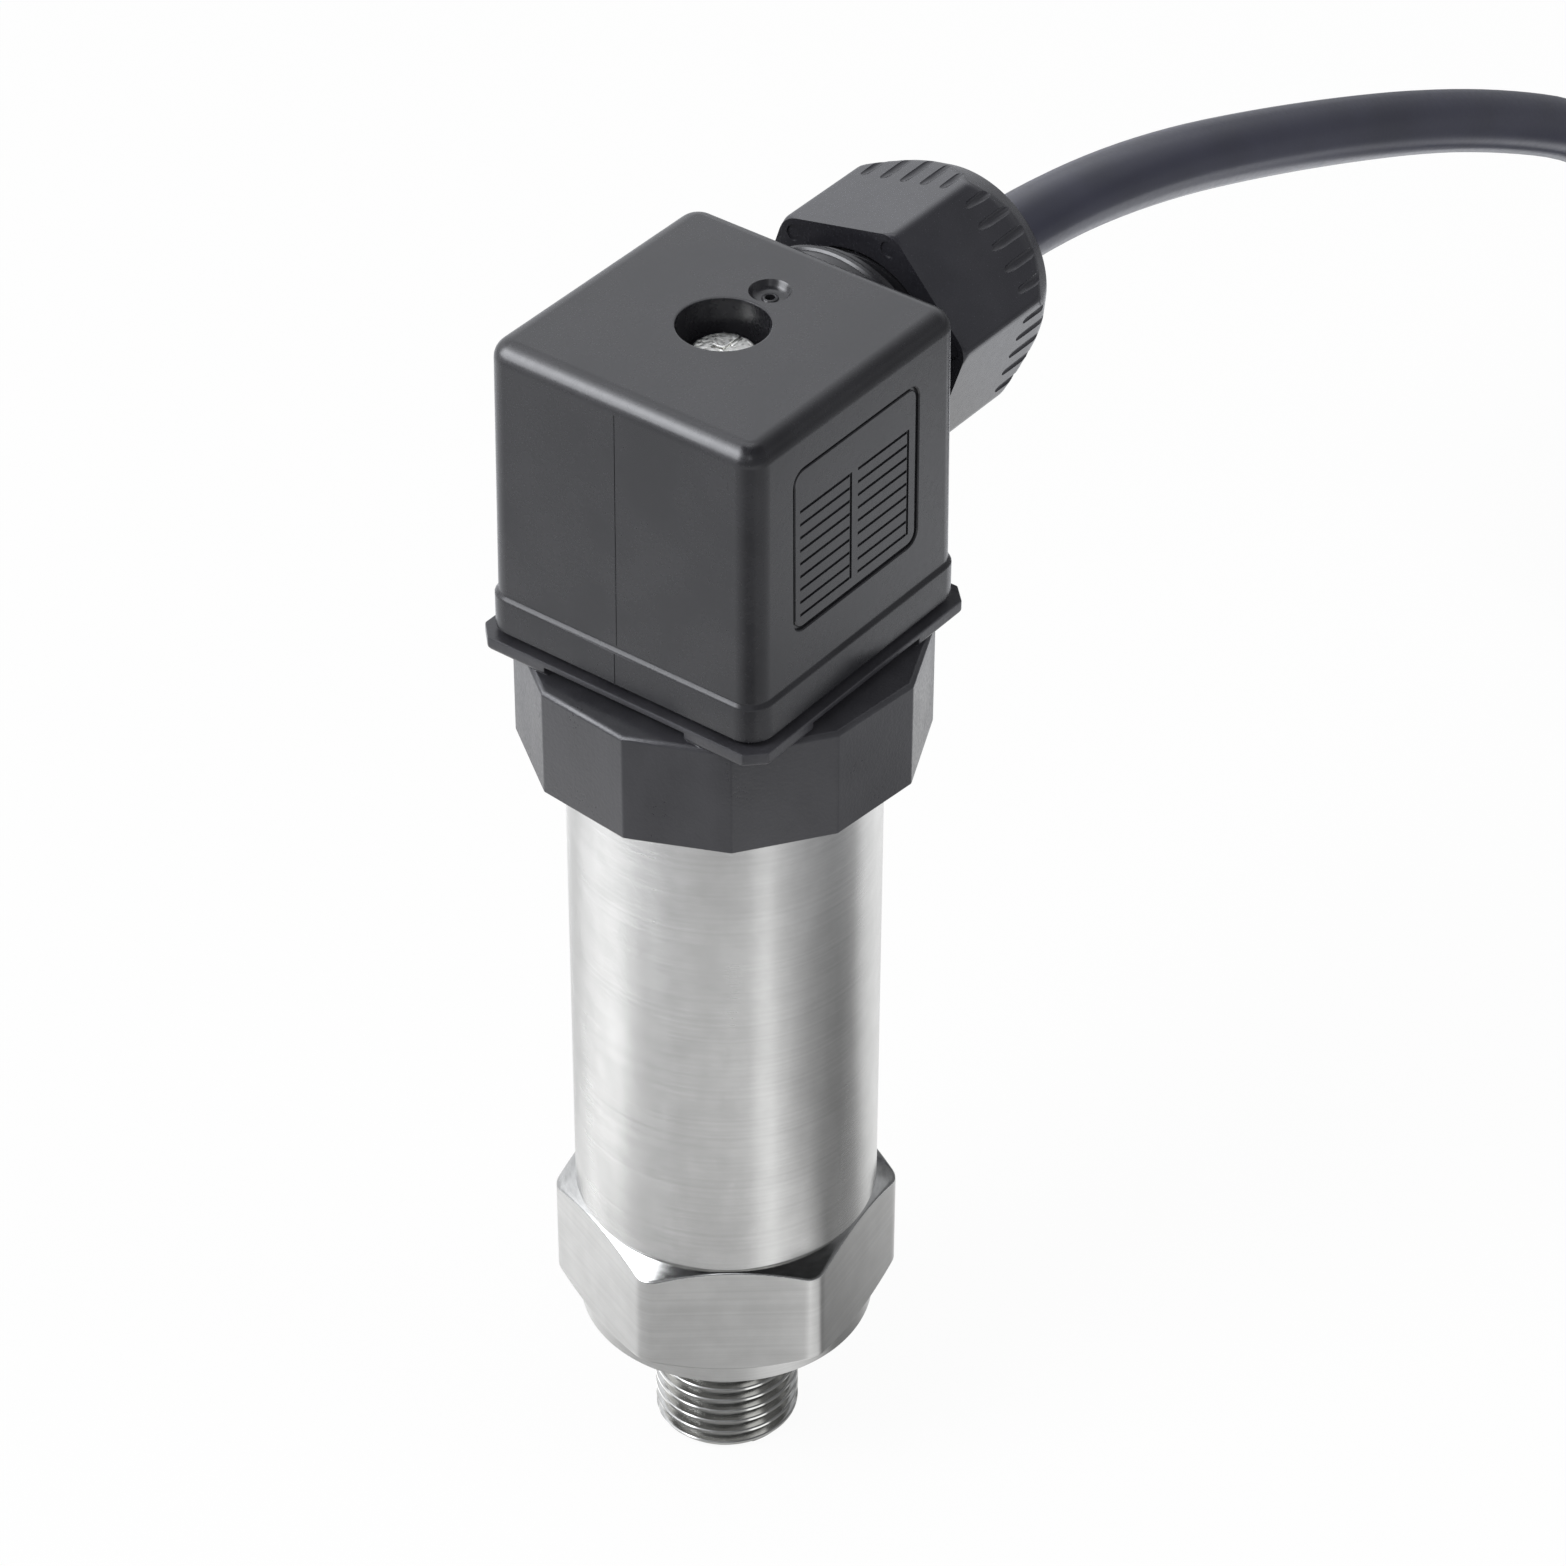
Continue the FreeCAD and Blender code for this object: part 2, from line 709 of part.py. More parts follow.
def centre_screw():
    """The cheese-head screw, slotted and cross-cut."""
    head = disc(screw_head_radius, screw_head_bottom, screw_head_top)
    rim = [edge for edge in head.Edges if edge.BoundBox.ZMin > screw_head_top - 1e-6]
    head = head.makeFillet(screw_head_edge, rim)
    shaft = turned_z((
        (0, screw_tip),
        (screw_radius - screw_point, screw_tip),
        (screw_radius, screw_tip + screw_point),
        (screw_radius, screw_head_bottom + screw_point),
        (0, screw_head_bottom + screw_point),
    ))
    half = screw_slot_width / 2
    slot = block(-screw_head_radius - 1, screw_head_radius + 1, -half, half,
                 screw_head_top - screw_slot_depth, screw_head_top + 1)
    cross = block(-screw_cross_length / 2, screw_cross_length / 2, -half, half,
                  screw_head_top - screw_cross_depth, screw_head_top + 1)
    return cut_all(fused([head, shaft]), [slot] + around(cross, 2))


def screw_washer():
    """The seal washer under the screw's head."""
    washer = disc(screw_washer_radius, washer_bottom, washer_top)
    return washer.cut(disc(screw_radius + running_gap, washer_bottom - 1, washer_top + 1))


def clamp_block(gap=0.0):
    """The outside of one terminal clamp, with room round it if a gap is given."""
    return block(clamp_inner - gap, clamp_outer + gap, -clamp_width / 2 - gap,
                 clamp_width / 2 + gap, insert_top - clamp_height, insert_top + (1 if gap else 0))


def blade_way():
    """The slot that a blade needs in the insert and in its clamp."""
    half = blade_thickness / 2 + slot_gap
    return block(blade_circle - half, blade_circle + half, -blade_width / 2 - slot_gap,
                 blade_width / 2 + slot_gap, cavity_bottom - 1, blade_top + seat_gap)


def terminal_insert():
    """The insulating block that carries the clamps inside the cap."""
    half = cavity_half - slot_gap
    body = rounded_block(half, cap_corner / 2, cavity_bottom, insert_top)
    way = disc(screw_radius + 2 * slot_gap, cavity_bottom - 1, insert_top + 1)
    pockets = around(clamp_block(0.02), 4)
    return cut_all(body, pockets + around(blade_way(), 4) + [way])


def terminal_clamp(index):
    """A brass clamp with its blade slot and the hole for its screw."""
    hole = Part.makeCylinder(clamp_screw_radius + running_gap, clamp_screw_length + 1,
                             Vector(clamp_screw_place, 0, insert_top - clamp_screw_length))
    clamp = cut_all(clamp_block(), [blade_way(), hole])
    return around(clamp, 4)[index]


def terminal_screws():
    """The four clamp screws, all alike."""
    shaft = Part.makeCylinder(clamp_screw_radius, clamp_screw_length - 0.5,
                              Vector(clamp_screw_place, 0, insert_top - clamp_screw_length + 0.5))
    head = Part.makeCylinder(clamp_screw_head, clamp_screw_rise,
                             Vector(clamp_screw_place, 0, insert_top))
    reach = clamp_screw_head + 1
    slot = block(clamp_screw_place - reach, clamp_screw_place + reach, -clamp_slot_width / 2,
                 clamp_slot_width / 2, clamp_screw_top - clamp_screw_rise / 2, clamp_screw_top + 1)
    return Part.makeCompound(around(fused([shaft, head]).cut(slot), 4))


def inner_cores():
    """The three conductors from the end of the cable to their clamps."""
    cores = []
    landing = clamp_screw_top + core_radius - gland_height
    inner = cable_inner_end
    side = clamp_screw_place
    routes = (
        ((inner, 0, 1.4), (8.6, 0, 1.2), (side, 0, landing)),
        ((inner, 1.4, -0.9), (8.4, 3.0, -1.0), (4.6, 5.8, -1.6), (0.6, side, landing)),
        ((inner, -1.4, -0.9), (8.4, -3.0, -1.0), (4.6, -5.8, -1.6), (0.6, -side, landing)),
    )
    for index, route in enumerate(routes):
        points = [Vector(x, y, gland_height + rise) for x, y, rise in route]
        cores.append(tube_along(points, inner_core_radius, f"inner core {index}"))
    return Part.makeCompound(cores)


def nut_profile():
    """The gland nut's turned outline: front chamfer, hexagon zone and domed end."""
    shoulder = nut_hex_end + nut_shoulder_length
    dome = nut_end - shoulder
    fall = nut_shoulder_radius - nut_dome_radius
    steps = [(nut_hex_end, nut_corner)]
    for angle in (0, 18, 36, 54, 72, 90):
        steps.append((shoulder + dome * math.sin(math.radians(angle)),
                      nut_dome_radius + fall * math.cos(math.radians(angle))))
    return [
        (nut_front, 0),
        (nut_front, nut_corner - nut_face_chamfer),
        (nut_front + nut_face_chamfer, nut_corner),
    ] + steps + [(nut_end, 0)]


def gland_nut():
    """The hexagonal gland nut, domed at the cable's end, with short flutes on every flat."""
    prism = polygon_prism(nut_corner, 6, 0, nut_front - 1, nut_end + 1)
    prism.rotate(Vector(0, 0, 0), Vector(0, 1, 0), 90)
    prism.rotate(Vector(0, 0, 0), Vector(1, 0, 0), nut_turn)
    prism.translate(Vector(0, 0, gland_height))
    body = turned_x(nut_profile()).common(prism)
    bore = rod_x(gland_neck_radius + running_gap, nut_front - 1, nut_floor)
    mouth = rod_x(nut_mouth_radius, nut_front, nut_end + 1)
    flutes = []
    flute_start = nut_hex_end - flute_on_flat
    for side in range(6):
        for index in range(flute_count):
            across = (index - (flute_count - 1) / 2) * flute_pitch
            flute = block(flute_start, flute_start + flute_length, across - flute_width / 2,
                          across + flute_width / 2, nut_flats / 2 - flute_depth,
                          nut_flats / 2 + 2)
            flute.rotate(Vector(0, 0, 0), Vector(1, 0, 0), 60.0 * side + nut_flat_turn)
            flute.translate(Vector(0, 0, gland_height))
            flutes.append(flute)
    return cut_all(body, [bore, mouth] + flutes)


def gland_washer():
    """The thrust washer between the nut and the grommet."""
    washer = rod_x(gland_washer_radius, gland_washer_inner, gland_washer_outer)
    return washer.cut(rod_x(gland_washer_bore, gland_washer_inner - 1, gland_washer_outer + 1))


def gland_grommet():
    """The rubber bush that grips the cable."""
    return turned_x((
        (gland_boss_end, cable_radius + running_gap),
        (gland_boss_end, neck_bore - running_gap - grommet_cone / 2),
        (gland_boss_end + grommet_cone, neck_bore - running_gap),
        (neck_end, neck_bore - running_gap),
        (neck_end, grommet_flange_radius),
        (grommet_end, grommet_flange_radius),
        (grommet_end, cable_radius + running_gap),
    ))


def cable():
    """The round jacketed cable, from inside the cap to the hank."""
    points = [Vector(x, 0, z) for x, z in cable_route]
    free_length = rounded_path(points)[0].Length + tail_length
    turns = (cable_length - free_length) / (2 * math.pi * hank_bend_radius + 2 * hank_straight)
    print(f"cable: {cable_length:.0f} long leaves {turns:.2f} turns for the hank")
    return tube_along(points, cable_radius, "cable")


def long_loop(radius, low, high):
    """A solid with two straight sides and half-round ends, as a hank lies."""
    middle = block(0, hank_straight, -radius, radius, low, high)
    near_end = Part.makeCylinder(radius, high - low, Vector(0, 0, low))
    far_end = Part.makeCylinder(radius, high - low, Vector(hank_straight, 0, low))
    return fused([middle, near_end, far_end])


def hank_ring(inset=0.0):
    """The hank's outer shape: a long ring of round-cornered section lying on the surface."""
    low = floor_z + inset
    high = floor_z + hank_height - inset
    ring = long_loop(hank_bend_radius + hank_half_width - inset, low, high)
    ring = ring.cut(long_loop(hank_bend_radius - hank_half_width + inset, low, high))
    ring = ring.makeFillet(cable_radius * 0.9 - inset, ring.Edges)
    ring.translate(Vector(hank_x, hank_y, 0))
    return ring


def tie_zone():
    """The short stretch of one straight side that the tie goes round."""
    middle = hank_x + hank_straight / 2
    reach = hank_bend_radius + hank_half_width + 5
    return block(middle - tie_width / 2, middle + tie_width / 2, hank_y - reach, hank_y,
                 floor_z - 1, floor_z + hank_height + 1)


def cable_tie():
    """The hook-and-loop band round the turns."""
    return hank_ring().cut(hank_ring(tie_thickness)).common(tie_zone())


def cable_coil():
    """The put-away length of the cable, narrowed under its tie."""
    return hank_ring().cut(cable_tie())


def cable_tail():
    """The last stretch of jacket, leaving the hank along the surface."""
    return Part.makeCylinder(cable_radius, tail_length, tail_start, tail_way)


def fanned_cores():
    """Start and direction of each of the three stripped cores, fanned and drooping."""
    cores = []
    for index in (-1, 0, 1):
        angle = math.radians(tail_turn + core_spread * index)
        beside = Vector(tail_way.y, -tail_way.x, 0) * core_offset * index
        way = Vector(-math.cos(angle), math.sin(angle), -core_droop).normalize()
        cores.append((tail_start + tail_way * tail_length + beside, way))
    return cores


def bare_cores():
    """The stripped end's three insulated cores."""
    cores = [Part.makeCylinder(core_radius, core_length, start, way)
             for start, way in fanned_cores()]
    return Part.makeCompound(cores)


def core_ferrules():
    """A crimped ferrule with a plastic collar on each core."""
    ferrules = []
    for start, way in fanned_cores():
        core_end = start + way * core_length
        collar = Part.makeCylinder(ferrule_collar_radius, ferrule_collar_length, core_end, way)
        sleeve = Part.makeCylinder(ferrule_radius, ferrule_length, core_end, way)
        ferrules.append(fused([collar, sleeve]))
    return Part.makeCompound(ferrules)


nodes = {
    "process_fitting": process_fitting,
    "sensor_o_ring": sensor_o_ring,
    "sensor_cell": sensor_cell,
    "sensor_lock_ring": sensor_lock_ring,
    "housing_tube": housing_tube,
    "housing_o_ring": housing_o_ring,
    "board_holder": board_holder,
    "circuit_board": circuit_board,
    "board_components": board_components,
    "sensor_flex_lead": sensor_flex_lead,
    "board_leads": board_leads,
    "connector_base": connector_base,
    "screw_insert": screw_insert,
    "base_gasket": base_gasket,
    "connector_cap": connector_cap,
    "centre_screw": centre_screw,
    "screw_washer": screw_washer,
    "terminal_insert": terminal_insert,
    "terminal_screws": terminal_screws,
    "inner_cores": inner_cores,
    "gland_nut": gland_nut,
    "gland_washer": gland_washer,
    "gland_grommet": gland_grommet,
    "cable": cable,
    "cable_coil": cable_coil,
    "cable_tie": cable_tie,
    "cable_tail": cable_tail,
    "bare_cores": bare_cores,
    "core_ferrules": core_ferrules,
}

contact_names = ("line_1", "line_2", "signal", "earth")

os.makedirs("parts", exist_ok=True)
for name, make in nodes.items():
    shape = make()
    shape.exportStep(f"parts/{name}.step")
    print(name, "valid" if shape.isValid() else "NOT VALID", len(shape.Solids), "solid(s)")
for index, contact in enumerate(contact_names):
    contact_blade(index).exportStep(f"parts/{contact}_blade.step")
    terminal_clamp(index).exportStep(f"parts/{contact}_clamp.step")
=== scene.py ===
"""Dresses the pressure transmitter: turned steel, black nylon, a threaded gland and its cable.

Sizes are millimetres until a mesh is made, and +Z runs up the body as in the model.
"""

import math

import bmesh
import bpy
from mathutils import Matrix, Vector


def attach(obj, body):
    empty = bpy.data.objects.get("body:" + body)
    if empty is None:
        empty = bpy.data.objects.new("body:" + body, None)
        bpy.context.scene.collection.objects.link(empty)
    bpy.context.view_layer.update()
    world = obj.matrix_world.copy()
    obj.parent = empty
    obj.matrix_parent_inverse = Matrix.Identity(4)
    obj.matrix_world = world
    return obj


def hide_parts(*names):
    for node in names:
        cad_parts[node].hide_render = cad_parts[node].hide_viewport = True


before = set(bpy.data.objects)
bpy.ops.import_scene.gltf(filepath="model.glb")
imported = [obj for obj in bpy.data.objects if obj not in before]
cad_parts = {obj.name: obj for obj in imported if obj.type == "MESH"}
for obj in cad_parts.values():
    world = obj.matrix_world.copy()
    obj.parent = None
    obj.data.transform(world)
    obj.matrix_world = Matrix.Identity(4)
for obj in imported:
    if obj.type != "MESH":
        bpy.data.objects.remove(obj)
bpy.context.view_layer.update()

MM = 0.001
floor_z = -15.0

# The camera stands where the photograph was taken from
camera_azimuth = math.radians(-52.944)
camera_elevation = math.radians(37.694)
camera_roll = math.radians(0.282)
camera_distance = 447.35
camera_lens = 121.41
target_across = 4.929
target_height = 57.61

# Process fitting and housing tube
thread_radius = 6.579
thread_root = 5.72
thread_pitch = 1.337
thread_end = -15.0
thread_end_radius = 5.95
port_radius = 2.0
relief_radius = 5.58
relief_height = 3.0
seal_face_radius = 13.3
seal_collar_height = 1.85
hex_flats = 27.0
hex_corner_radius = 15.25
hex_height = 13.5
hex_turn = 9.2
shoulder_z = 13.79
spigot_top = 19.99
tube_radius = 13.5
tube_bore = 12.0
tube_top = 70.0

# Connector base
collar_radius = 17.55
collar_turn = 9.57
collar_bottom = 63.8
collar_top = 74.15
flange_half = 14.7
flange_top = 75.55
ear_chamfer = 1.5
recess_length = 14.4
recess_height = 0.85
recess_depth = 1.3
recess_corner = 0.8
base_spigot_bottom = 58.0
insert_radius = 2.4

# Plug cap
skirt_half = 14.05
skirt_corner = 2.3
skirt_bottom = 76.0
skirt_top = 79.3
ledge_rise = 0.35
cap_foot_half = 13.75
cap_top_half = 13.53
cap_corner = 2.0
cap_top = 103.65
cap_fillet = 1.7
cavity_half = 11.45
cavity_bottom = 77.0
cavity_top = 100.85
insert_top = 88.5
room_half = 13.0
well_boss_radius = 5.63
shaft_boss_radius = 3.4
shaft_way_radius = 1.75
well_radius = 3.83
well_floor = 98.65
small_well_place = 6.15
small_well_radius = 1.65
pin_hole_radius = 0.42
panel_box = (-8.6, 8.0, 84.0, 99.4)
panel_corner = 1.3
panel_sink = 0.1
panel_gap = 0.28
panel_gap_depth = 0.3
line_columns = ((-7.66, -1.15), (-0.05, 6.5))
line_foot = 85.3
line_count = 9
line_pitch = 1.24
line_width = 0.28
line_depth = 0.16
seam = (0.27, 0.35)
seam_depth = 0.05

# Centre screw
screw_tip = 71.55
screw_radius = 1.45
screw_pitch = 0.5
screw_head_radius = 2.75
screw_head_bottom = 99.2
screw_head_top = 101.2

# Cable gland
gland_height = 93.54
boss_radius = 9.1
boss_end = 16.4
neck_radius = 7.6
neck_root = 6.95
neck_pitch = 1.41
neck_bore = 6.1
neck_end = 25.4
cable_way_radius = 3.45
nut_front = 17.95
nut_flats = 19.7
nut_hex_end = 28.35
nut_shoulder = 29.5
nut_shoulder_radius = 10.7
nut_end = 33.55
nut_dome_radius = 7.0
nut_mouth_radius = 4.3
nut_floor = 28.25
nut_turn = 18.14
flute_places = (-4.12, -2.06, 0, 2.06, 4.12)
flute_radius = 0.55
flute_length = 1.9
ejector_radius = 0.75
ejector_place = 9.75

# Cable: the route's points as in the model, then the hank's five and a half turns by a loop
cable_radius = 3.1
cable_route = (
    (11.2, 93.54),
    (34.3, 93.54),
    (57.6, 90.1),
    (86.5, 80.3),
    (119.0, 67.1),
    (150.0, 50.5),
    (166.0, 28.0),
    (181.0, 9.5),
    (206.0, 4.4),
    (232.0, 0.5),
)
hank_straight = 48.0
hank_x = 184.0
inner_turn_radius = 16.7
outer_turn_radius = 22.9
hank_y = -inner_turn_radius
hank_middle_radius = (inner_turn_radius + outer_turn_radius) / 2
first_change = 0.958
change_spacing = 0.94
change_length = 0.2
tail_length = 26.0
tail_turn = 9.0
tail_start = Vector((hank_x, hank_y - outer_turn_radius, floor_z + cable_radius))
tail_way = Vector((-math.cos(math.radians(tail_turn)), math.sin(math.radians(tail_turn)), 0))
tail_end = tail_start + tail_way * tail_length
core_radius = 0.75
core_spacing = 1.7
core_spread = 14.0


def to_linear(colour):
    """A hex sRGB colour as linear red, green, blue and alpha."""
    shares = [int(colour[place:place + 2], 16) / 255 for place in (1, 3, 5)]
    return [s / 12.92 if s <= 0.04045 else ((s + 0.055) / 1.055) ** 2.4 for s in shares] + [1.0]


def add_node(tree, kind, inputs=None, **settings):
    """Adds one shader node with its settings, and gives its inputs values or links."""
    made = tree.nodes.new(kind)
    for name, value in settings.items():
        setattr(made, name, value)
    for socket, value in (inputs or {}).items():
        if isinstance(value, bpy.types.NodeSocket):
            tree.links.new(value, made.inputs[socket])
        else:
            made.inputs[socket].default_value = value
    return made


# Camera

def place_camera():
    """A long lens, looking down on the front corner of the plug."""
    across = Vector((math.cos(camera_azimuth), math.sin(camera_azimuth), 0))
    back = Vector((math.sin(camera_azimuth) * math.cos(camera_elevation),
                   -math.cos(camera_azimuth) * math.cos(camera_elevation),
                   math.sin(camera_elevation)))
    level_up = across.cross(-back)
    right = across * math.cos(camera_roll) + level_up * math.sin(camera_roll)
    up = level_up * math.cos(camera_roll) - across * math.sin(camera_roll)
    target = across * target_across + Vector((0, 0, target_height))
    lens = bpy.data.cameras.new("camera")
    lens.lens = camera_lens
    lens.sensor_width = 36
    lens.clip_start = 0.01
    lens.clip_end = 20
    camera = bpy.data.objects.new("camera", lens)
    bpy.context.scene.collection.objects.link(camera)
    turn = Matrix((right, up, back)).transposed().to_4x4()
    camera.matrix_world = Matrix.Translation((target + back * camera_distance) * MM) @ turn
    bpy.context.scene.camera = camera


place_camera()


# Shapes

def link_object(name, data):
    """An object in the scene that holds the given mesh or curve."""
    made = bpy.data.objects.new(name, data)
    bpy.context.scene.collection.objects.link(made)
    return made


def skinned(name, rings, loop=False):
    """A closed mesh over rings of equally many points; loop joins the last ring to the first."""
    count = len(rings[0])
    points = [Vector(point) * MM for ring in rings for point in ring]
    faces = []
    for index in range(len(rings) if loop else len(rings) - 1):
        low = index * count
        high = (index + 1) % len(rings) * count
        for place in range(count):
            beside = (place + 1) % count
            faces.append((low + place, low + beside, high + beside, high + place))
    if not loop:
        faces.append(tuple(reversed(range(count))))
        faces.append(tuple(range(len(points) - count, len(points))))
    mesh = bpy.data.meshes.new(name)
    mesh.from_pydata(points, [], faces)
    return link_object(name, mesh)


def polygon_ring(radius, height, sides=192, turn=0.0, centre=(0, 0)):
    """A level ring of points on a regular polygon; with many sides it is a circle."""
    angles = [math.radians(turn + 360 * side / sides) for side in range(sides)]
    return [(centre[0] + radius * math.cos(a), centre[1] + radius * math.sin(a), height)
            for a in angles]


def rounded(half_wide, half_high, corner, inset=0.0, steps=6):
    """Points round a rectangle with round corners, all drawn in by the inset."""
    points = []
    for quarter, (across, up) in enumerate(((1, 1), (-1, 1), (-1, -1), (1, -1))):
        for step in range(steps + 1):
            angle = math.radians(90 * quarter + 90 * step / steps)
            points.append((across * (half_wide - corner) + (corner - inset) * math.cos(angle),
                           up * (half_high - corner) + (corner - inset) * math.sin(angle)))
    return points


def square_ring(half, corner, height):
    """A level ring of points on a square with round corners."""
    return [(x, y, height) for x, y in rounded(half, half, corner, 0.0, 8)]


def turned(name, outline, sides=192, loop=False, centre=(0, 0)):
    """A body of revolution about an upright axis, from (radius, height) points going up."""
    return skinned(name, [polygon_ring(r, z, sides, 0, centre) for r, z in outline], loop)


def off(radius, height, steps):
    """Outline points that stand off a radius and a height by the given steps."""
    return [(radius + out, height + up) for out, up in steps]


def block(name, low, high, turn=0.0):
    """A box between two corners, turned about the upright axis."""
    rings = [[(x, y, z) for x, y in ((low[0], low[1]), (high[0], low[1]),
                                     (high[0], high[1]), (low[0], high[1]))]
             for z in (low[2], high[2])]
    made = skinned(name, rings)
    made.data.transform(Matrix.Rotation(math.radians(turn), 4, "Z"))
    return made


def baked(body):
    """Turns what the body's modifiers show into its own mesh."""
    graph = bpy.context.evaluated_depsgraph_get()
    shown = bpy.data.meshes.new_from_object(body.evaluated_get(graph))
    body.modifiers.clear()
    body.data = shown
    return body


def carve(body, tool, operation="DIFFERENCE"):
    """Takes the tool away from the body, or joins it on."""
    step = body.modifiers.new("carve", "BOOLEAN")
    step.operation = operation
    step.solver = "EXACT"
    step.object = tool
    baked(body)
    bpy.data.objects.remove(tool)
    return body


def merged(body, *others):
    """Puts other meshes into the body's own mesh, as they lie."""
    mesh = bpy.data.meshes.new(body.name)
    points = []
    faces = []
    for part in (body, *others):
        start = len(points)
        points += [vertex.co.copy() for vertex in part.data.vertices]
        faces += [tuple(start + v for v in polygon.vertices) for polygon in part.data.polygons]
    mesh.from_pydata(points, [], faces)
    body.data = mesh
    for part in others:
        bpy.data.objects.remove(part)
    return body


def soften(body, width, angle=25.0, segments=2):
    """Breaks the sharp edges, as a mould or a deburring tool leaves them."""
    step = body.modifiers.new("soften", "BEVEL")
    step.width = width * MM
    step.segments = segments
    step.limit_method = "ANGLE"
    step.angle_limit = math.radians(angle)
    step.use_clamp_overlap = False
    return baked(body)


def to_gland(body):
    """Lays a shape made about the upright axis onto the gland's axis, its height along +X."""
    body.data.transform(Matrix.Translation((0, 0, gland_height * MM))
                        @ Matrix.Rotation(math.radians(90), 4, "Y"))
    return body


def screw_thread(name, crest, root, pitch, low, high, limit, rows=12, sides=128):
    """A solid right-hand thread; limit gives the largest radius at each height, for its ends."""
    first = -rows - 1
    last = int((high - low) / pitch * rows) + 2
    points = []
    for row in range(first, last + 1):
        # More than a half, so that crests and roots come out a little flat
        share = 0.5 + 0.8 * math.cos(2 * math.pi * row / rows)
        radius = root + (crest - root) * min(1.0, max(0.0, share))
        for side in range(sides):
            angle = 2 * math.pi * side / sides
            height = low + pitch * (row / rows + side / sides)
            inside = low - pitch / rows < height < high + pitch / rows
            height = min(high, max(low, height))
            reach = min(radius, limit(height)) if inside else root * 0.5
            points.append((reach * math.cos(angle), reach * math.sin(angle), height))
    faces = []
    count = last - first
    for row in range(count):
        for side in range(sides):
            here = row * sides + side
            beside = here + 1 if side < sides - 1 else (row + rows) * sides
            if beside + sides < len(points):
                faces.append((here, beside, beside + sides, here + sides))
    mesh = bpy.data.meshes.new(name)
    mesh.from_pydata([Vector(point) * MM for point in points], [], faces)
    shape = bmesh.new()
    shape.from_mesh(mesh)
    bmesh.ops.remove_doubles(shape, verts=shape.verts, dist=0.002 * MM)
    bmesh.ops.holes_fill(shape, edges=shape.edges)
    bmesh.ops.recalc_face_normals(shape, faces=shape.faces)
    shape.to_mesh(mesh)
    shape.free()
    return link_object(name, mesh)


def soft_least(values, width):
    """The least of several lengths, rounded over where two of them come close."""
    least = values[0]
    for value in values[1:]:
        near = max(0.0, 1 - abs(least - value) / width)
        least = min(least, value) - near * near * width / 4
    return least


def hexagon_body(name, flats, turn, limits, heights, soft_corner, soft_end, sides=288):
    """A hexagon turned down to the limits at each height, with every edge a little rounded."""
    rings = []
    for height in heights:
        ring = []
        for side in range(sides):
            angle = 2 * math.pi * side / sides
            ways = [math.cos(angle - math.radians(turn + 30 + 60 * face)) for face in range(6)]
            reaches = sorted(flats / 2 / way for way in ways if way > 0.3)
            radius = soft_least([soft_least(reaches, soft_corner), *limits(height)], soft_end)
            ring.append((radius * math.cos(angle), radius * math.sin(angle), height))
        rings.append(ring)
    return skinned(name, rings)


def put_on(made, finish, body, nodes, crease=38.0):
    """Shades a piece, gives it its finish, and sets it on its body in place of its nodes."""
    if made.type == "MESH":
        for polygon in made.data.polygons:
            polygon.use_smooth = True
        made.data.set_sharp_from_angle(angle=math.radians(crease))
        step = made.modifiers.new("even shading", "WEIGHTED_NORMAL")
        step.keep_sharp = True
    made.data.materials.clear()
    made.data.materials.append(finish)
    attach(made, body)
    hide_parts(*nodes)
    return made


# Cable

def lay_cord(name, points, radius, rings=10, sides=7):
    """A round cord on one smooth spline through the pull of its points."""
    line = bpy.data.curves.new(name, "CURVE")
    line.dimensions = "3D"
    line.bevel_depth = radius * MM
    line.bevel_resolution = sides
    line.resolution_u = rings
    line.use_fill_caps = True
    spline = line.splines.new("NURBS")
    spline.points.add(len(points) - 1)
    for place, point in zip(spline.points, points):
        place.co = (*(Vector(point) * MM), 1.0)
    spline.order_u = 3
    spline.use_endpoint_u = True
    return link_object(name, line)


def hank_points():
    """The turns: inside and outside on the top layer, then two layers further down."""
    lanes = ((0, 0), (1, 0), (1, 1), (0, 1), (0, 2), (1, 2))
    half_turn = math.pi * hank_middle_radius + hank_straight
    straight_share = 0.5 * hank_straight / half_turn
    bend_share = 0.5 - straight_share
    points = []
    for half in range(12):
        way = 1 if half % 2 == 0 else -1
        stops = [("straight", (place - 0.5) / 2) for place in (1, 2)] if half else []
        stops += [("bend", (place + 0.5) / 8) for place in range(8)] if half < 11 else []
        for kind, share in stops:
            turn = half / 2 + (share * straight_share if kind == "straight"
                               else straight_share + share * bend_share)
            out = eased_lane(turn, [lane[0] for lane in lanes])
            down = eased_lane(turn, [lane[1] for lane in lanes])
            radius = inner_turn_radius + (2 * cable_radius + 0.1) * out
            height = cable_route[-1][1] - 2 * cable_radius * down
            if kind == "straight":
                x = hank_x + hank_straight * (share if way > 0 else 1 - share)
                points.append((x, hank_y + way * radius, height))
            else:
                angle = math.radians(way * 90 - 180 * share)
                reach = radius / math.cos(math.radians(180 / 16))
                x = hank_x + (hank_straight if way > 0 else 0) + reach * math.cos(angle)
                points.append((x, hank_y + reach * math.sin(angle), height))
    return points


def eased_lane(turn, lanes):
    """Which lane the cable is in after so many turns; it changes near the end of each turn."""
    lane = lanes[0]
    for index, (before, after) in enumerate(zip(lanes, lanes[1:])):
        start = first_change + change_spacing * index
        share = min(1.0, max(0.0, (turn - start) / change_length))
        lane += (after - before) * share * share * (3 - 2 * share)
    return lane


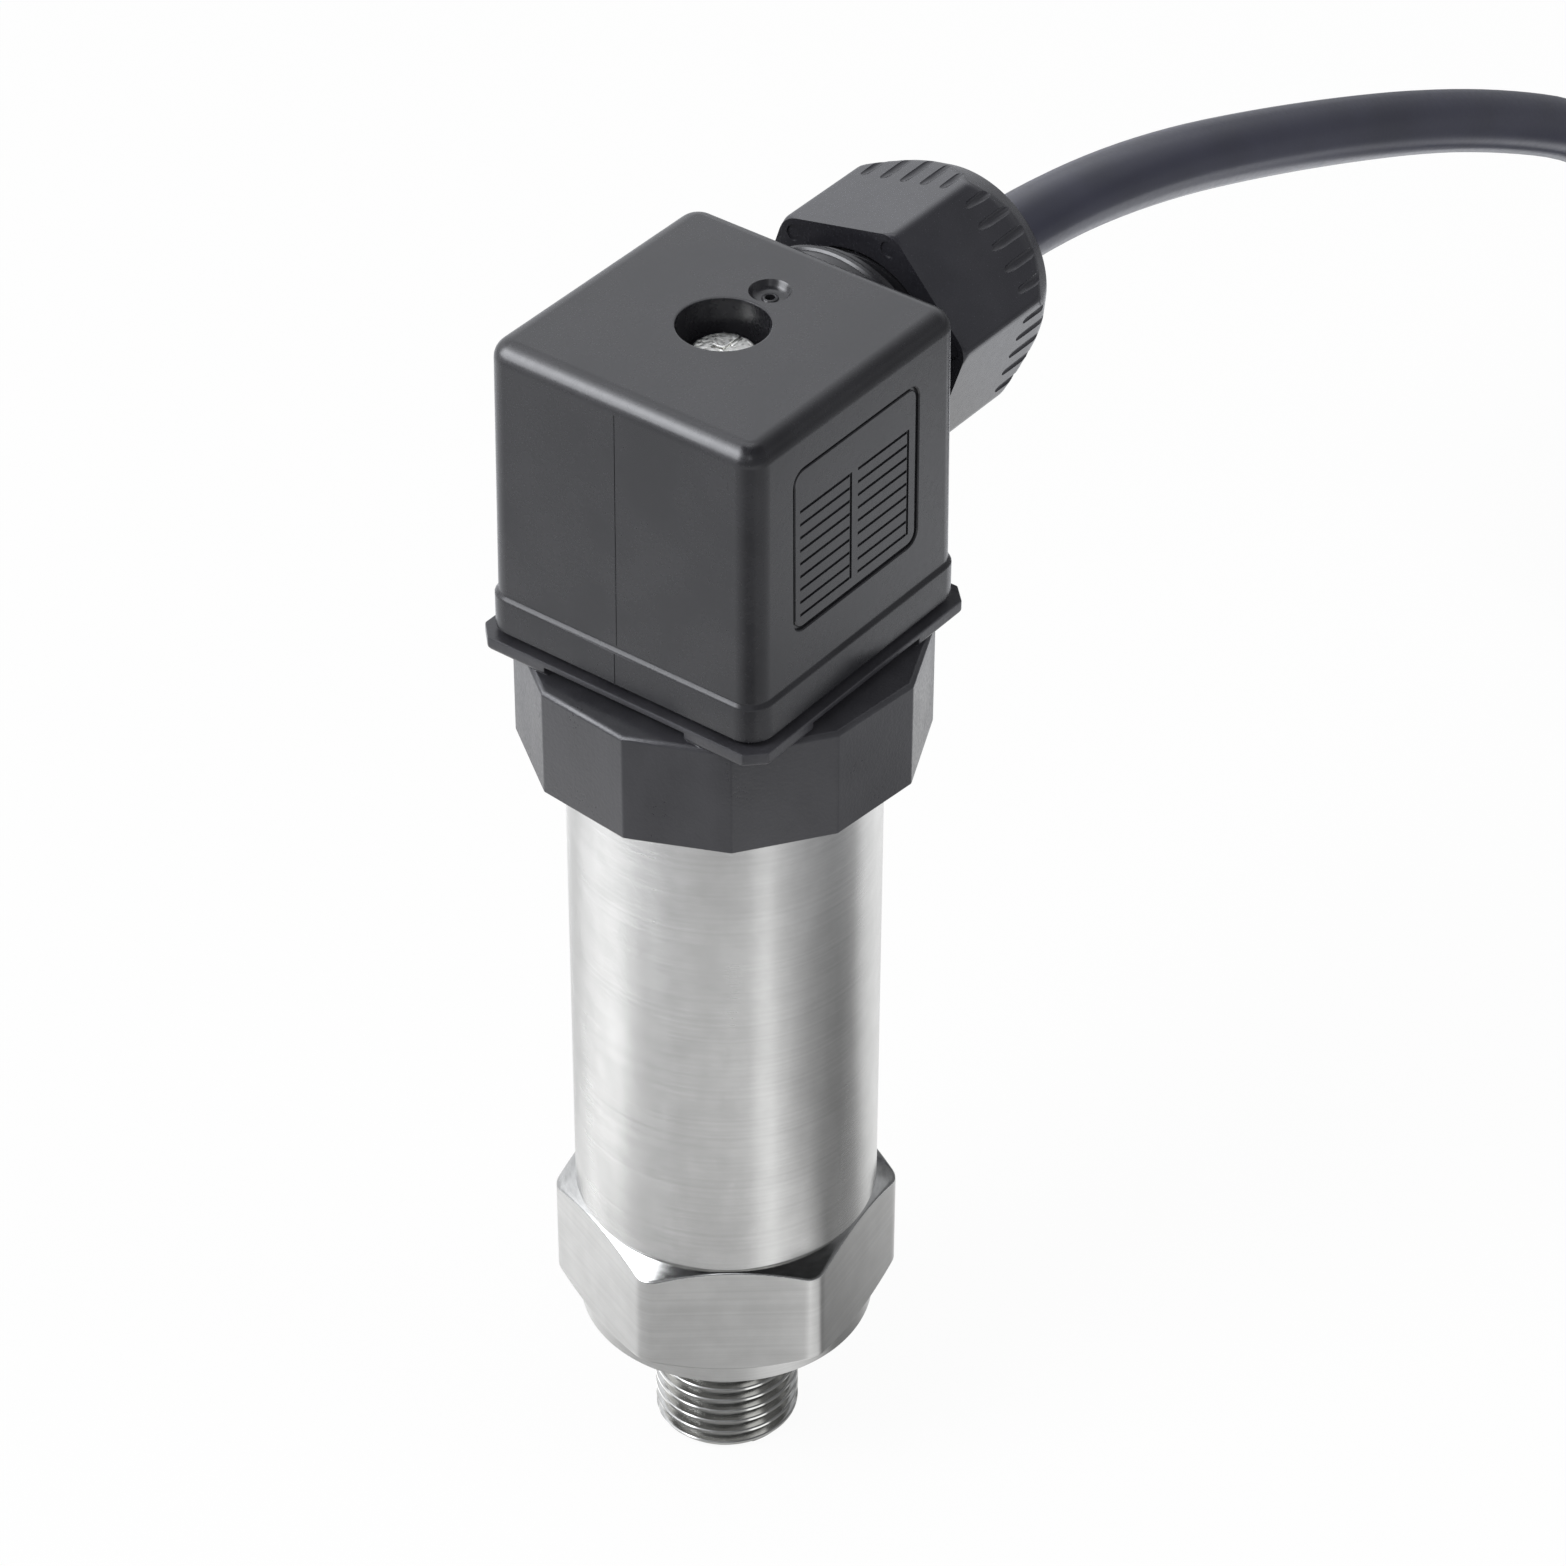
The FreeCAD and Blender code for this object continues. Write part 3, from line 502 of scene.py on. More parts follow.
cable_line = [(x, 0, z) for x, z in cable_route] + hank_points() + [tail_start, tail_end]
cable = lay_cord("cable", cable_line, cable_radius)


# Finishes

def new_finish(name, colour, roughness, metallic=0.0, **sockets):
    """A material on one shader, with the given plain values."""
    finish = bpy.data.materials.new(name)
    finish.use_nodes = True
    shader = finish.node_tree.nodes["Principled BSDF"]
    shader.inputs["Base Color"].default_value = to_linear(colour)
    shader.inputs["Roughness"].default_value = roughness
    shader.inputs["Metallic"].default_value = metallic
    for socket, value in sockets.items():
        shader.inputs[socket.replace("_", " ")].default_value = value
    return finish


def work_in(finish, size, stretch=(1, 1, 1), detail=2.0, colours=None, spread=(0.35, 0.65),
            roughness=0.0, height=0.0):
    """Lets a pattern of the given size in mm vary a finish's colour, gloss and relief."""
    tree = finish.node_tree
    shader = tree.nodes["Principled BSDF"]
    place = add_node(tree, "ShaderNodeTexCoord").outputs["Object"]
    scaled = add_node(tree, "ShaderNodeMapping", {"Vector": place, "Scale": stretch})
    pattern = add_node(tree, "ShaderNodeTexNoise", {
        "Vector": scaled.outputs[0], "Scale": 1 / (size * MM), "Detail": detail})
    level = add_node(tree, "ShaderNodeMapRange", {
        "Value": pattern.outputs[0], "From Min": spread[0], "From Max": spread[1]}).outputs[0]
    if colours:
        tint = add_node(tree, "ShaderNodeMix", {
            "Factor": level, "A": to_linear(colours[0]), "B": to_linear(colours[1])},
            data_type="RGBA")
        link_colour(tree, shader, tint.outputs["Result"])
    if roughness:
        base = shader.inputs["Roughness"]
        value = base.links[0].from_socket if base.is_linked else base.default_value
        more = add_node(tree, "ShaderNodeMath", {0: level, 1: roughness, 2: value},
                        operation="MULTIPLY_ADD")
        tree.links.new(more.outputs[0], base)
    if height:
        relief = add_node(tree, "ShaderNodeBump", {
            "Height": level, "Strength": 1.0, "Distance": height * MM})
        base = shader.inputs["Normal"]
        if base.is_linked:
            tree.links.new(base.links[0].from_socket, relief.inputs["Normal"])
        tree.links.new(relief.outputs[0], base)
    return finish


def link_colour(tree, shader, tint):
    """Multiplies a tint into the shader's colour, or is that colour where it has none."""
    base = shader.inputs["Base Color"]
    if base.is_linked:
        both = add_node(tree, "ShaderNodeMix", {
            "Factor": 1.0, "A": base.links[0].from_socket, "B": tint},
            data_type="RGBA", blend_type="MULTIPLY")
        tint = both.outputs["Result"]
    tree.links.new(tint, base)


def turned_about(finish):
    """Lays the gloss across turning marks, which run round the body."""
    tree = finish.node_tree
    way = add_node(tree, "ShaderNodeTangent", direction_type="RADIAL", axis="Z")
    tree.links.new(way.outputs[0], tree.nodes["Principled BSDF"].inputs["Tangent"])
    return finish


def patterned(name, colour, roughness, size, colours, gloss, height=0.0, metallic=0.0,
              stretch=(1, 1, 1), detail=3.0, spread=(0.35, 0.65)):
    """A finish with one pattern, which varies its colour, gloss and relief."""
    return work_in(new_finish(name, colour, roughness, metallic), size, stretch, detail, colours,
                   spread, gloss, height)


# Stainless tube, fine turned and then dulled: a silky band of light runs along it. Its marks
# are drawn coarser than the real ones so that they show
turned_stainless = new_finish("turned_stainless_steel", "#cdcdcb", 0.23, 1.0,
                              Anisotropic=0.8, Anisotropic_Rotation=0.25)
turned_about(turned_stainless)
work_in(turned_stainless, 0.35, (0.004, 0.004, 1), 3, ("#cbcbca", "#d1d1d0"), roughness=0.02)
work_in(turned_stainless, 4.0, (1, 1, 0.12), 4, ("#f3f3f3", "#ffffff"), roughness=0.03)
work_in(turned_stainless, 3.0, detail=4, colours=("#f6f6f6", "#ffffff"))

# Stainless bar, turned and milled: fine level tool marks on the flats, drawn coarser too
milled_stainless = new_finish("milled_stainless_steel", "#c0c0be", 0.30, 1.0,
                              Anisotropic=0.5, Anisotropic_Rotation=0.25)
turned_about(milled_stainless)
work_in(milled_stainless, 0.28, (0.01, 0.01, 1), 3, ("#bcbcbb", "#c4c4c3"), roughness=0.04,
        height=0.0006)
work_in(milled_stainless, 2.5, detail=3, colours=("#f6f6f6", "#ffffff"))

# The same bar where the tool cut its thread and chamfers: brighter, with sharp reflections
bright_stainless = new_finish("cut_stainless_steel", "#b9b9b7", 0.13, 1.0)
work_in(bright_stainless, 0.3, (0.2, 0.2, 1), 3, ("#b1b1af", "#c0c0be"), roughness=0.04)

# Black nylon from a spark-eroded mould: an even grain that breaks up the gloss, drawn coarser
# than the real one so that it shows
grained_nylon = new_finish("moulded_grained_black_nylon", "#202024", 0.23)
work_in(grained_nylon, 0.6, detail=1, roughness=0.03, height=0.0012)
work_in(grained_nylon, 6.0, detail=4, colours=("#1f1f22", "#262629"), roughness=0.04)

# Glass-filled nylon: duller, a little streaky, with matt scuffs
filled_nylon = new_finish("moulded_glass_filled_nylon", "#323236", 0.27)
work_in(filled_nylon, 0.3, detail=3, roughness=0.07, height=0.006)
work_in(filled_nylon, 4.0, (1, 1, 0.6), 5, ("#2f2f33", "#37373b"), roughness=0.05)
work_in(filled_nylon, 1.2, (1, 1, 0.4), 4, spread=(0.66, 0.72), roughness=0.1)

# Smooth moulded nylon of the gland: nearly the same black, with an even satin shine
smooth_nylon = new_finish("moulded_smooth_black_nylon", "#2b2b30", 0.25)
work_in(smooth_nylon, 0.6, detail=1, roughness=0.03, height=0.001)
work_in(smooth_nylon, 5.0, detail=4, colours=("#28282d", "#2e2e33"))

# Extruded cable sheath: blue-black and satin, with a faintly uneven skin
sheath = new_finish("extruded_cable_sheath", "#30313e", 0.28)
work_in(sheath, 0.5, detail=2, roughness=0.05, height=0.001)
work_in(sheath, 9.0, detail=3, colours=("#2d2e3a", "#333442"))

# Bright zinc plate with a clear passivate: pale, with a mottled gloss
zinc_plate = patterned("zinc_plated_steel", "#dcdcd8", 0.26, 0.35, ("#cfcfca", "#e6e6e3"), 0.16,
                       0.02, 1.0, detail=4)

# Free-cutting brass, turned: yellow, with fine marks round it
turned_brass = new_finish("turned_brass", "#c9a154", 0.28, 1.0, Anisotropic=0.4)
work_in(turned_brass, 0.3, (0.05, 0.05, 1), 2, ("#bd9548", "#d0ab62"), roughness=0.06,
        height=0.002)

# Stamped brass with matt tin: soft grey, drawn lengthwise
tinned_brass = patterned("tin_plated_brass", "#c3c2bd", 0.32, 0.4, ("#b8b7b2", "#cbcac6"), 0.1,
                         0.003, 1.0, (1, 1, 0.08))

# Die-cut brass with bright nickel: warmer and glossier
nickel_plate = patterned("nickel_plated_brass", "#c5c0b4", 0.22, 0.6, ("#bbb6aa", "#cdc8bd"),
                         0.08, 0.003, 1.0)

# Nitrile rubber, pressed: dull, with a dusty bloom
nitrile = patterned("pressed_nitrile_rubber", "#262628", 0.62, 0.5, ("#222224", "#2c2c2e"), 0.1,
                    0.01, detail=4)

# Fluorocarbon rubber O-rings: a shade browner and smoother
fluoro_rubber = patterned("fluorocarbon_rubber", "#2a2724", 0.5, 0.6, ("#252220", "#2f2b28"),
                          0.08, 0.004)

# Sintered alumina: white, close to matt, with a faint grain
alumina = patterned("sintered_alumina", "#eeebe2", 0.4, 0.35, ("#e8e5dc", "#f2efe7"), 0.1, 0.004,
                    detail=4)

# Natural nylon: milky cream
natural_nylon = patterned("natural_nylon", "#d8d2bf", 0.4, 1.5, ("#d2ccb8", "#ded8c6"), 0.08,
                          0.006)

# Acetal slip washer: white and waxy
acetal = patterned("moulded_acetal", "#d9d6cc", 0.3, 0.8, ("#d4d1c6", "#dedbd2"), 0.06, 0.003,
                   detail=2)

# Glass laminate under solder mask: green with copper tracks showing through as paler lines
laminate = patterned("solder_mask_on_glass_laminate", "#1f5a34", 0.28, 1.6,
                     ("#1c5230", "#2b7344"), 0.0, 0.03, 0.0, (1, 1, 0.25), 0, (0.5, 0.52))
work_in(laminate, 0.4, detail=2, colours=("#f2f2f2", "#ffffff"), roughness=0.05)

# Epoxy-moulded components: flat black with a fine bead-blasted face
epoxy = patterned("moulded_epoxy", "#242426", 0.55, 0.15, ("#202022", "#29292b"), 0.08, 0.006)

# Polyimide film: clear amber over copper
polyimide = patterned("polyimide_film", "#b8661c", 0.25, 0.9, ("#a85a16", "#c87a2c"), 0.0, 0.01,
                      0.0, (1, 1, 0.02), 0, (0.48, 0.52))

# Silicone lead insulation: soft red
silicone = patterned("silicone_insulation", "#a52a22", 0.4, 0.7, ("#9c261e", "#ad3028"), 0.08,
                     detail=2)

# Hook-and-loop tape: dark woven loops that scatter the light
loop_tape = patterned("hook_and_loop_tape", "#232325", 0.85, 0.35, ("#18181a", "#333336"), 0.0,
                      0.08, detail=5)

# Tinned copper sleeves, crimped: bright and a little wavy
tinned_copper = patterned("tinned_copper", "#cfcdc8", 0.25, 0.5, ("#c2c0bb", "#d8d6d1"), 0.08,
                          0.01, 1.0, (0.1, 1, 1), 2)


def core_finish(name, colour):
    """Core insulation in one colour: smooth extruded PVC with a soft shine."""
    finish = new_finish(name, colour, 0.33)
    return work_in(finish, 0.6, detail=2, roughness=0.08, height=0.003)


# Core colours of a three-wire lead
brown_core = core_finish("brown_core_insulation", "#5c3420")
blue_core = core_finish("blue_core_insulation", "#26498c")
black_core = core_finish("black_core_insulation", "#232326")


# Process fitting and tube

def fitting_limit(height):
    """The thread's largest radius: its end chamfer, and the relief under the hexagon."""
    end = thread_end_radius + (height - thread_end) * 0.95
    relief = max(relief_radius, thread_radius - (height + relief_height))
    return min(end, relief)


def fitting_limits(height):
    """The turned outline of the fitting's head: round collar, corners and two chamfers."""
    slope = math.tan(math.radians(60))
    under = seal_face_radius + max(0.0, height - seal_collar_height) * slope
    edge = seal_face_radius - 0.25 + height
    return min(under, edge), hex_corner_radius, tube_radius + (hex_height - height) * slope


def port_tool(top):
    """The pressure port, opened out a little at the thread's end."""
    return turned("port", ((port_radius + 1.6, thread_end - 1), (port_radius, thread_end + 0.6),
                           (port_radius, top)), 96)


def make_fitting():
    """The bar-turned fitting's head: hexagon, sealing collar and spigot."""
    heights = [0.0, 0.1, 0.25, 1.0, seal_collar_height - 0.01, seal_collar_height]
    heights += [seal_collar_height + 0.09 * step for step in range(1, 17)]
    heights += [seal_collar_height + 1.44 + 1.1 * step for step in range(1, 9)]
    heights += [shoulder_z - 0.085 * step for step in range(18, -1, -1)]
    head = hexagon_body("process_fitting", hex_flats, hex_turn, fitting_limits, heights, 0.35, 0.2)
    carve(head, port_tool(5.5))
    spigot = turned("spigot", ((9.05, shoulder_z - 1), (tube_bore - 0.05, shoulder_z - 1),
                               (tube_bore - 0.05, spigot_top), (9.05, spigot_top)), loop=True)
    return merged(head, spigot)


def make_process_thread():
    """The pipe thread that goes into the port, with the pressure port through it."""
    thread = screw_thread("process_thread", thread_radius, thread_root, thread_pitch, thread_end,
                          0.2, fitting_limit)
    return carve(thread, port_tool(1.0))


fitting = put_on(make_fitting(), milled_stainless, "sensor",
                 ["process_fitting"], 33)
fitting.data.materials.append(bright_stainless)
for polygon in fitting.data.polygons:
    chamfered = 0.35 < polygon.normal.z < 0.97 and polygon.center.z > hex_height / 2 * MM
    polygon.material_index = 1 if chamfered else 0
put_on(make_process_thread(), bright_stainless, "sensor",
       ["process_fitting"], 33)

tube = turned("housing_tube", [
    (tube_bore, shoulder_z),
    *off(tube_radius, shoulder_z, ((-0.35, 0), (-0.1, 0.1), (0, 0.35))),
    *off(tube_radius, tube_top, ((0, -0.35), (-0.1, -0.1), (-0.35, 0))),
    (tube_bore, tube_top),
], 256, loop=True)
put_on(tube, turned_stainless, "sensor", ["housing_tube"])


# Connector base

def make_base():
    """The moulded base: twelve-sided collar, eared flange with edge recesses, plug spigot."""
    body = skinned("connector_base", [
        polygon_ring(collar_radius, collar_bottom, 12, collar_turn),
        polygon_ring(collar_radius, collar_top - 0.3, 12, collar_turn),
        polygon_ring(collar_radius - 0.3, collar_top, 12, collar_turn),
    ])
    inset = flange_half - ear_chamfer
    corners = ((flange_half, -inset), (flange_half, inset), (inset, flange_half),
               (-inset, flange_half), (-flange_half, inset), (-flange_half, -inset),
               (-inset, -flange_half), (inset, -flange_half))
    under = 1 - 0.35 / flange_half
    flange = skinned("flange", [
        [(x * under, y * under, collar_top - 0.02) for x, y in corners],
        [(x, y, collar_top + 0.35) for x, y in corners],
        [(x, y, flange_top) for x, y in corners],
    ])
    near = flange_half - recess_depth
    mouth = near + recess_corner
    half = recess_length / 2
    cut = recess_corner * 0.3
    outline = ((flange_half + 1, -half), (flange_half + 1, half), (mouth, half),
               (near + cut, half - cut), (near, half - recess_corner),
               (near, recess_corner - half), (near + cut, cut - half), (mouth, -half))
    for side in range(4):
        recess = skinned("recess", [[(x, y, z) for x, y in outline]
                                    for z in (collar_top - 1, collar_top + recess_height)])
        recess.data.transform(Matrix.Rotation(math.radians(90 * side), 4, "Z"))
        carve(flange, recess)
    carve(body, flange, "UNION")
    carve(body, turned("plug", [
        *off(tube_bore, base_spigot_bottom, ((-0.4, 0), (-0.05, 0.4), (-0.05, 3.0), (-1.6, 3.0),
                                             (-1.6, 5.2), (-0.05, 5.2))),
        (tube_bore - 0.05, collar_bottom + 1),
    ]), "UNION")
    carve(body, turned("slot", (
        (tube_bore - 0.05, collar_bottom - 0.6), (tube_radius + 0.05, collar_bottom - 0.6),
        (tube_radius + 0.05, tube_top), (tube_bore - 0.05, tube_top)), loop=True))
    soften(body, 0.14, 25)
    seat = turned("seat", ((insert_radius, flange_top - 7.5), (insert_radius, flange_top + 1)), 64)
    return carve(body, seat)


put_on(make_base(), filled_nylon, "sensor", ["connector_base"], 33)


# Plug cap

def cap_rings():
    """The cap's outside from the skirt's edge up over the rounded top."""
    rings = [square_ring(skirt_half - 0.15, skirt_corner - 0.15, skirt_bottom),
             square_ring(skirt_half, skirt_corner, skirt_bottom + 0.15),
             square_ring(skirt_half, skirt_corner, skirt_top - 0.12),
             square_ring(skirt_half - 0.1, skirt_corner - 0.1, skirt_top + 0.05),
             square_ring(cap_foot_half + 0.05, cap_corner + 0.05, skirt_top + ledge_rise - 0.05),
             square_ring(cap_foot_half - 0.01, cap_corner, skirt_top + ledge_rise + 0.08)]
    for step in range(9):
        angle = math.radians(90 * step / 8)
        pull = cap_fillet * (1 - math.cos(angle))
        rings.append(square_ring(cap_top_half + 0.015 - pull, cap_corner - pull * 0.9,
                                 cap_top - cap_fillet * (1 - math.sin(angle))))
    return rings


def neck_limit(height):
    """The neck thread's largest radius: full up to the chamfer at its end."""
    return neck_radius - max(0.0, height - neck_end + 0.6)


def make_cap():
    """The moulded cap with its wells, gland neck, ribbed panel and hollow underside."""
    body = skinned("connector_cap", cap_rings())
    carve(body, to_gland(turned("boss", [
        (boss_radius, cap_top_half - 3),
        *off(boss_radius, boss_end, ((0, -1.75), (0.2, -1.6), (0.28, -1.35), (0.2, -1.1),
                                     (-0.05, -0.95), (-0.3, -0.85), (-0.3, -0.2), (-0.5, 0))),
    ], 96)), "UNION")
    cavity = skinned("cavity", [square_ring(cavity_half, 1.0, skirt_bottom - 4),
                                square_ring(cavity_half, 1.0, cavity_top)])
    carve(cavity, turned("well_boss", ((well_boss_radius, well_floor - 2),
                                       (well_boss_radius, cavity_top + 1)), 96))
    carve(cavity, turned("shaft_boss", ((shaft_boss_radius, insert_top),
                                        (shaft_boss_radius, cavity_top + 1)), 96))
    carve(body, cavity)
    room = skinned("room", [square_ring(room_half, 1.25, skirt_bottom - 1),
                            square_ring(room_half, 1.25, cavity_bottom)])
    carve(body, room)
    carve(body, turned("well", [
        *off(well_radius, well_floor, ((-0.3, 0), (-0.09, 0.09), (0, 0.3))),
        *off(well_radius, cap_top, ((0, -0.2), (0.07, -0.07), (0.25, 0), (0.25, 1))),
    ], 128))
    carve(body, turned("shaft_way", ((shaft_way_radius, insert_top - 1),
                                     (shaft_way_radius, cap_top)), 48))
    carve(body, turned("small_well", [
        *off(pin_hole_radius, cap_top, ((0, -1.95), (0, -0.62), (0.08, -0.58), (0.2, -0.62),
                                        (0.3, -0.75))),
        *off(small_well_radius, cap_top, ((-0.6, -0.75), (-0.3, -0.62), (-0.1, -0.42), (0, -0.15),
                                          (0.12, 0), (0.12, 1))),
    ], 64, centre=(small_well_place, 0)))
    carve(body, to_gland(turned("way_in", ((cable_way_radius, cavity_half - 2),
                                           (cable_way_radius, boss_end + 1)), 64)))
    carve(body, panel_tool())
    carve(body, line_tool())
    carve(body, seam_tool())
    neck = screw_thread("neck", neck_radius, neck_root, neck_pitch, boss_end - 0.4, neck_end,
                        neck_limit, 12, 112)
    carve(neck, turned("entry", ((neck_bore, boss_end - 1), (neck_bore, neck_end + 1)), 96))
    return merged(body, to_gland(neck))


def wall_at(height):
    """How far the cap's drafted wall stands from the middle at a height."""
    share = (height - skirt_top) / (cap_top - skirt_top)
    return cap_foot_half + (cap_top_half - cap_foot_half) * share


def panel_ring(inset, depth):
    """The panel's outline, drawn in by the inset and pushed into the -Y wall."""
    left, right, foot, head = panel_box
    ring = []
    for across, up in rounded((right - left) / 2, (head - foot) / 2, panel_corner, inset):
        z = (foot + head) / 2 + up
        ring.append(((left + right) / 2 + across, depth - wall_at(z), z))
    return ring


def panel_tool():
    """The gap round the rating panel, which lies a little lower than the wall."""
    edge = panel_gap + 0.08
    outside = skinned("panel", [panel_ring(0, panel_gap_depth), panel_ring(0, 0.1),
                                panel_ring(-0.1, 0), panel_ring(-0.1, -1.5)])
    plate = skinned("plate", [panel_ring(panel_gap, 2), panel_ring(panel_gap, panel_sink + 0.08),
                              panel_ring(edge, panel_sink)])
    return carve(outside, plate)


def line_tool():
    """The panel's two columns of grooves, each with an upright one at its right."""
    grooves = []
    for start, end in line_columns:
        heights = [line_foot + line_pitch * index for index in range(line_count)]
        spans = [(start, end, low, low + line_width) for low in heights]
        spans.append((end + 0.03, end + 0.03 + line_width, heights[0], heights[-1] + line_width))
        for left, right, low, high in spans:
            rings = []
            for depth in (panel_sink + line_depth, -1):
                rings.append([(x, depth - wall_at(z), z) for x, z in
                              ((left, low), (right, low), (right, high), (left, high))])
            grooves.append(skinned("groove", rings))
    return merged(*grooves)


def seam_tool():
    """The hair line that the two halves of the mould leave down the -X face."""
    lines = []
    far = -skirt_half - 1
    front, back = seam
    for low, high, sill in ((skirt_bottom - 1, skirt_top - 0.1, skirt_half),
                            (skirt_top + 0.5, cap_top - cap_fillet, None)):
        rings = []
        for z in (low, high):
            x = seam_depth - (sill or wall_at(z))
            rings.append([(far, front, z), (x, front, z), (x, back, z), (far, back, z)])
        lines.append(skinned("seam", rings))
    return merged(*lines)


put_on(make_cap(), grained_nylon, "plug", ["connector_cap"], 33)


# Gland nut

def nut_limits(height):
    """The nut's turned outline: a small front chamfer, a sloping shoulder and a dome."""
    corner = nut_flats / math.sqrt(3)
    slope = (corner - nut_shoulder_radius) / (nut_shoulder - nut_hex_end)
    shoulder = corner - (height - nut_hex_end) * slope
    rise = min(1.0, max(0.0, (height - nut_shoulder) / (nut_end - nut_shoulder)))
    dome = nut_dome_radius + (nut_shoulder_radius - nut_dome_radius) * math.sqrt(1 - rise * rise)
    front = corner - 0.35 + (height - nut_front)
    return front, min(shoulder, dome) if height > nut_shoulder else shoulder


def make_nut():
    """The hexagonal nut: round-shouldered at the cable's end, with short flutes on its flats."""
    shoulder_start = 25.9
    dome_start = 30.06
    heights = [nut_front, nut_front + 0.1, nut_front + 0.2, nut_front + 0.35, nut_front + 0.6]
    heights += [nut_front + 0.6 + 1.05 * step for step in range(1, 8)]
    heights += [shoulder_start + 0.16 * step for step in range(26)]
    heights += [dome_start + (nut_end - dome_start) * math.sin(math.radians(7.5 * step))
                for step in range(1, 13)]
    body = hexagon_body("gland_nut", nut_flats, nut_turn, nut_limits, heights, 0.5, 0.3)
    bore = neck_radius + 0.05
    carve(body, turned("bore", ((bore + 0.35, nut_front - 1), (bore + 0.3, nut_front),
                                (bore, nut_front + 0.35), (bore, nut_floor)), 96))
    carve(body, turned("mouth", [
        (nut_mouth_radius, nut_floor - 1),
        *off(nut_mouth_radius, nut_end, ((0, -0.5), (0.15, -0.15), (0.9, 0.4))),
    ], 64))
    tools = []
    for side in range(6):
        angle = math.radians(nut_turn + 30 + 60 * side)
        out = nut_flats / 2 + 0.3
        for across in flute_places:
            place = (out * math.cos(angle) - across * math.sin(angle),
                     out * math.sin(angle) + across * math.cos(angle))
            tools.append(turned("flute", ((0.2, nut_hex_end - flute_length),
                                          (flute_radius - 0.05, nut_hex_end - flute_length + 0.6),
                                          (flute_radius, nut_hex_end),
                                          (flute_radius, nut_hex_end + 3.4)), 12, centre=place))
    for side in range(6):
        angle = math.radians(nut_turn + 60 * side)
        place = (ejector_place * math.cos(angle), ejector_place * math.sin(angle))
        tools.append(turned("ejector_mark", ((ejector_radius, nut_front - 0.5),
                                             (ejector_radius, nut_front + 0.12)), 24,
                            centre=place))
    carve(body, merged(*tools))
    return to_gland(body)


put_on(make_nut(), smooth_nylon, "gland_nut", ["gland_nut"], 33)


# Centre screw

def tip_limit(height):
    """The screw thread's largest radius: full down to the chamfer at its tip."""
    return screw_radius - max(0.0, 0.4 - (height - screw_tip))


def make_screw():
    """The cheese-head screw with its slot and cross, threaded up from the tip."""
    head = turned("centre_screw", [
        (1.6, screw_head_bottom - 0.3),
        *off(screw_head_radius, screw_head_bottom, ((-0.1, 0), (0, 0.1))),
        *off(screw_head_radius, screw_head_top, ((0, -0.4), (-0.05, -0.2), (-0.2, -0.05),
                                                 (-0.4, 0))),
    ], 96)
    reach = screw_head_radius + 1
    carve(head, block("slot", (-reach, -0.17, screw_head_top - 0.2),
                      (reach, 0.17, screw_head_top + 1)))
    for turn in (0, 90):
        carve(head, block("cross", (-1.1, -0.2, screw_head_top - 0.3),
                          (1.1, 0.2, screw_head_top + 1), turn))
    soften(head, 0.09, 40)
    shank = turned("shank", ((screw_radius, screw_tip + 9.5),
                             (screw_radius, screw_head_bottom)), 48)
    thread = screw_thread("screw_thread", screw_radius, screw_radius - 0.28, screw_pitch,
                          screw_tip, screw_tip + 10, tip_limit, 8, 48)
    return merged(head, shank, thread)


put_on(make_screw(), zinc_plate, "centre_screw", ["centre_screw"])


# Cable's tie, cores and ferrules

def make_tie():
    """The tape round one side of the hank, pulled tight over the turns."""
    half_wide = (outer_turn_radius - inner_turn_radius) / 2 + cable_radius - 0.1
    half_high = 3 * cable_radius - 0.1
    centre_y = hank_y - hank_middle_radius
    centre_z = floor_z + 3 * cable_radius
    corner = 2.6
    thickness = 0.8
    wide = 2.5
    rings = []
    for side, inset in ((-wide, 0.2), (0.3 - wide, 0), (wide - 0.3, 0), (wide, 0.2),
                        (wide, thickness), (-wide, thickness)):
        rings.append([(hank_x + hank_straight / 2 + side, centre_y + y, centre_z + z)
                      for y, z in rounded(half_wide, half_high, corner, inset)])
    return skinned("cable_tie", rings, loop=True)


tie = put_on(make_tie(), loop_tape, "plug", ["cable_tie"])

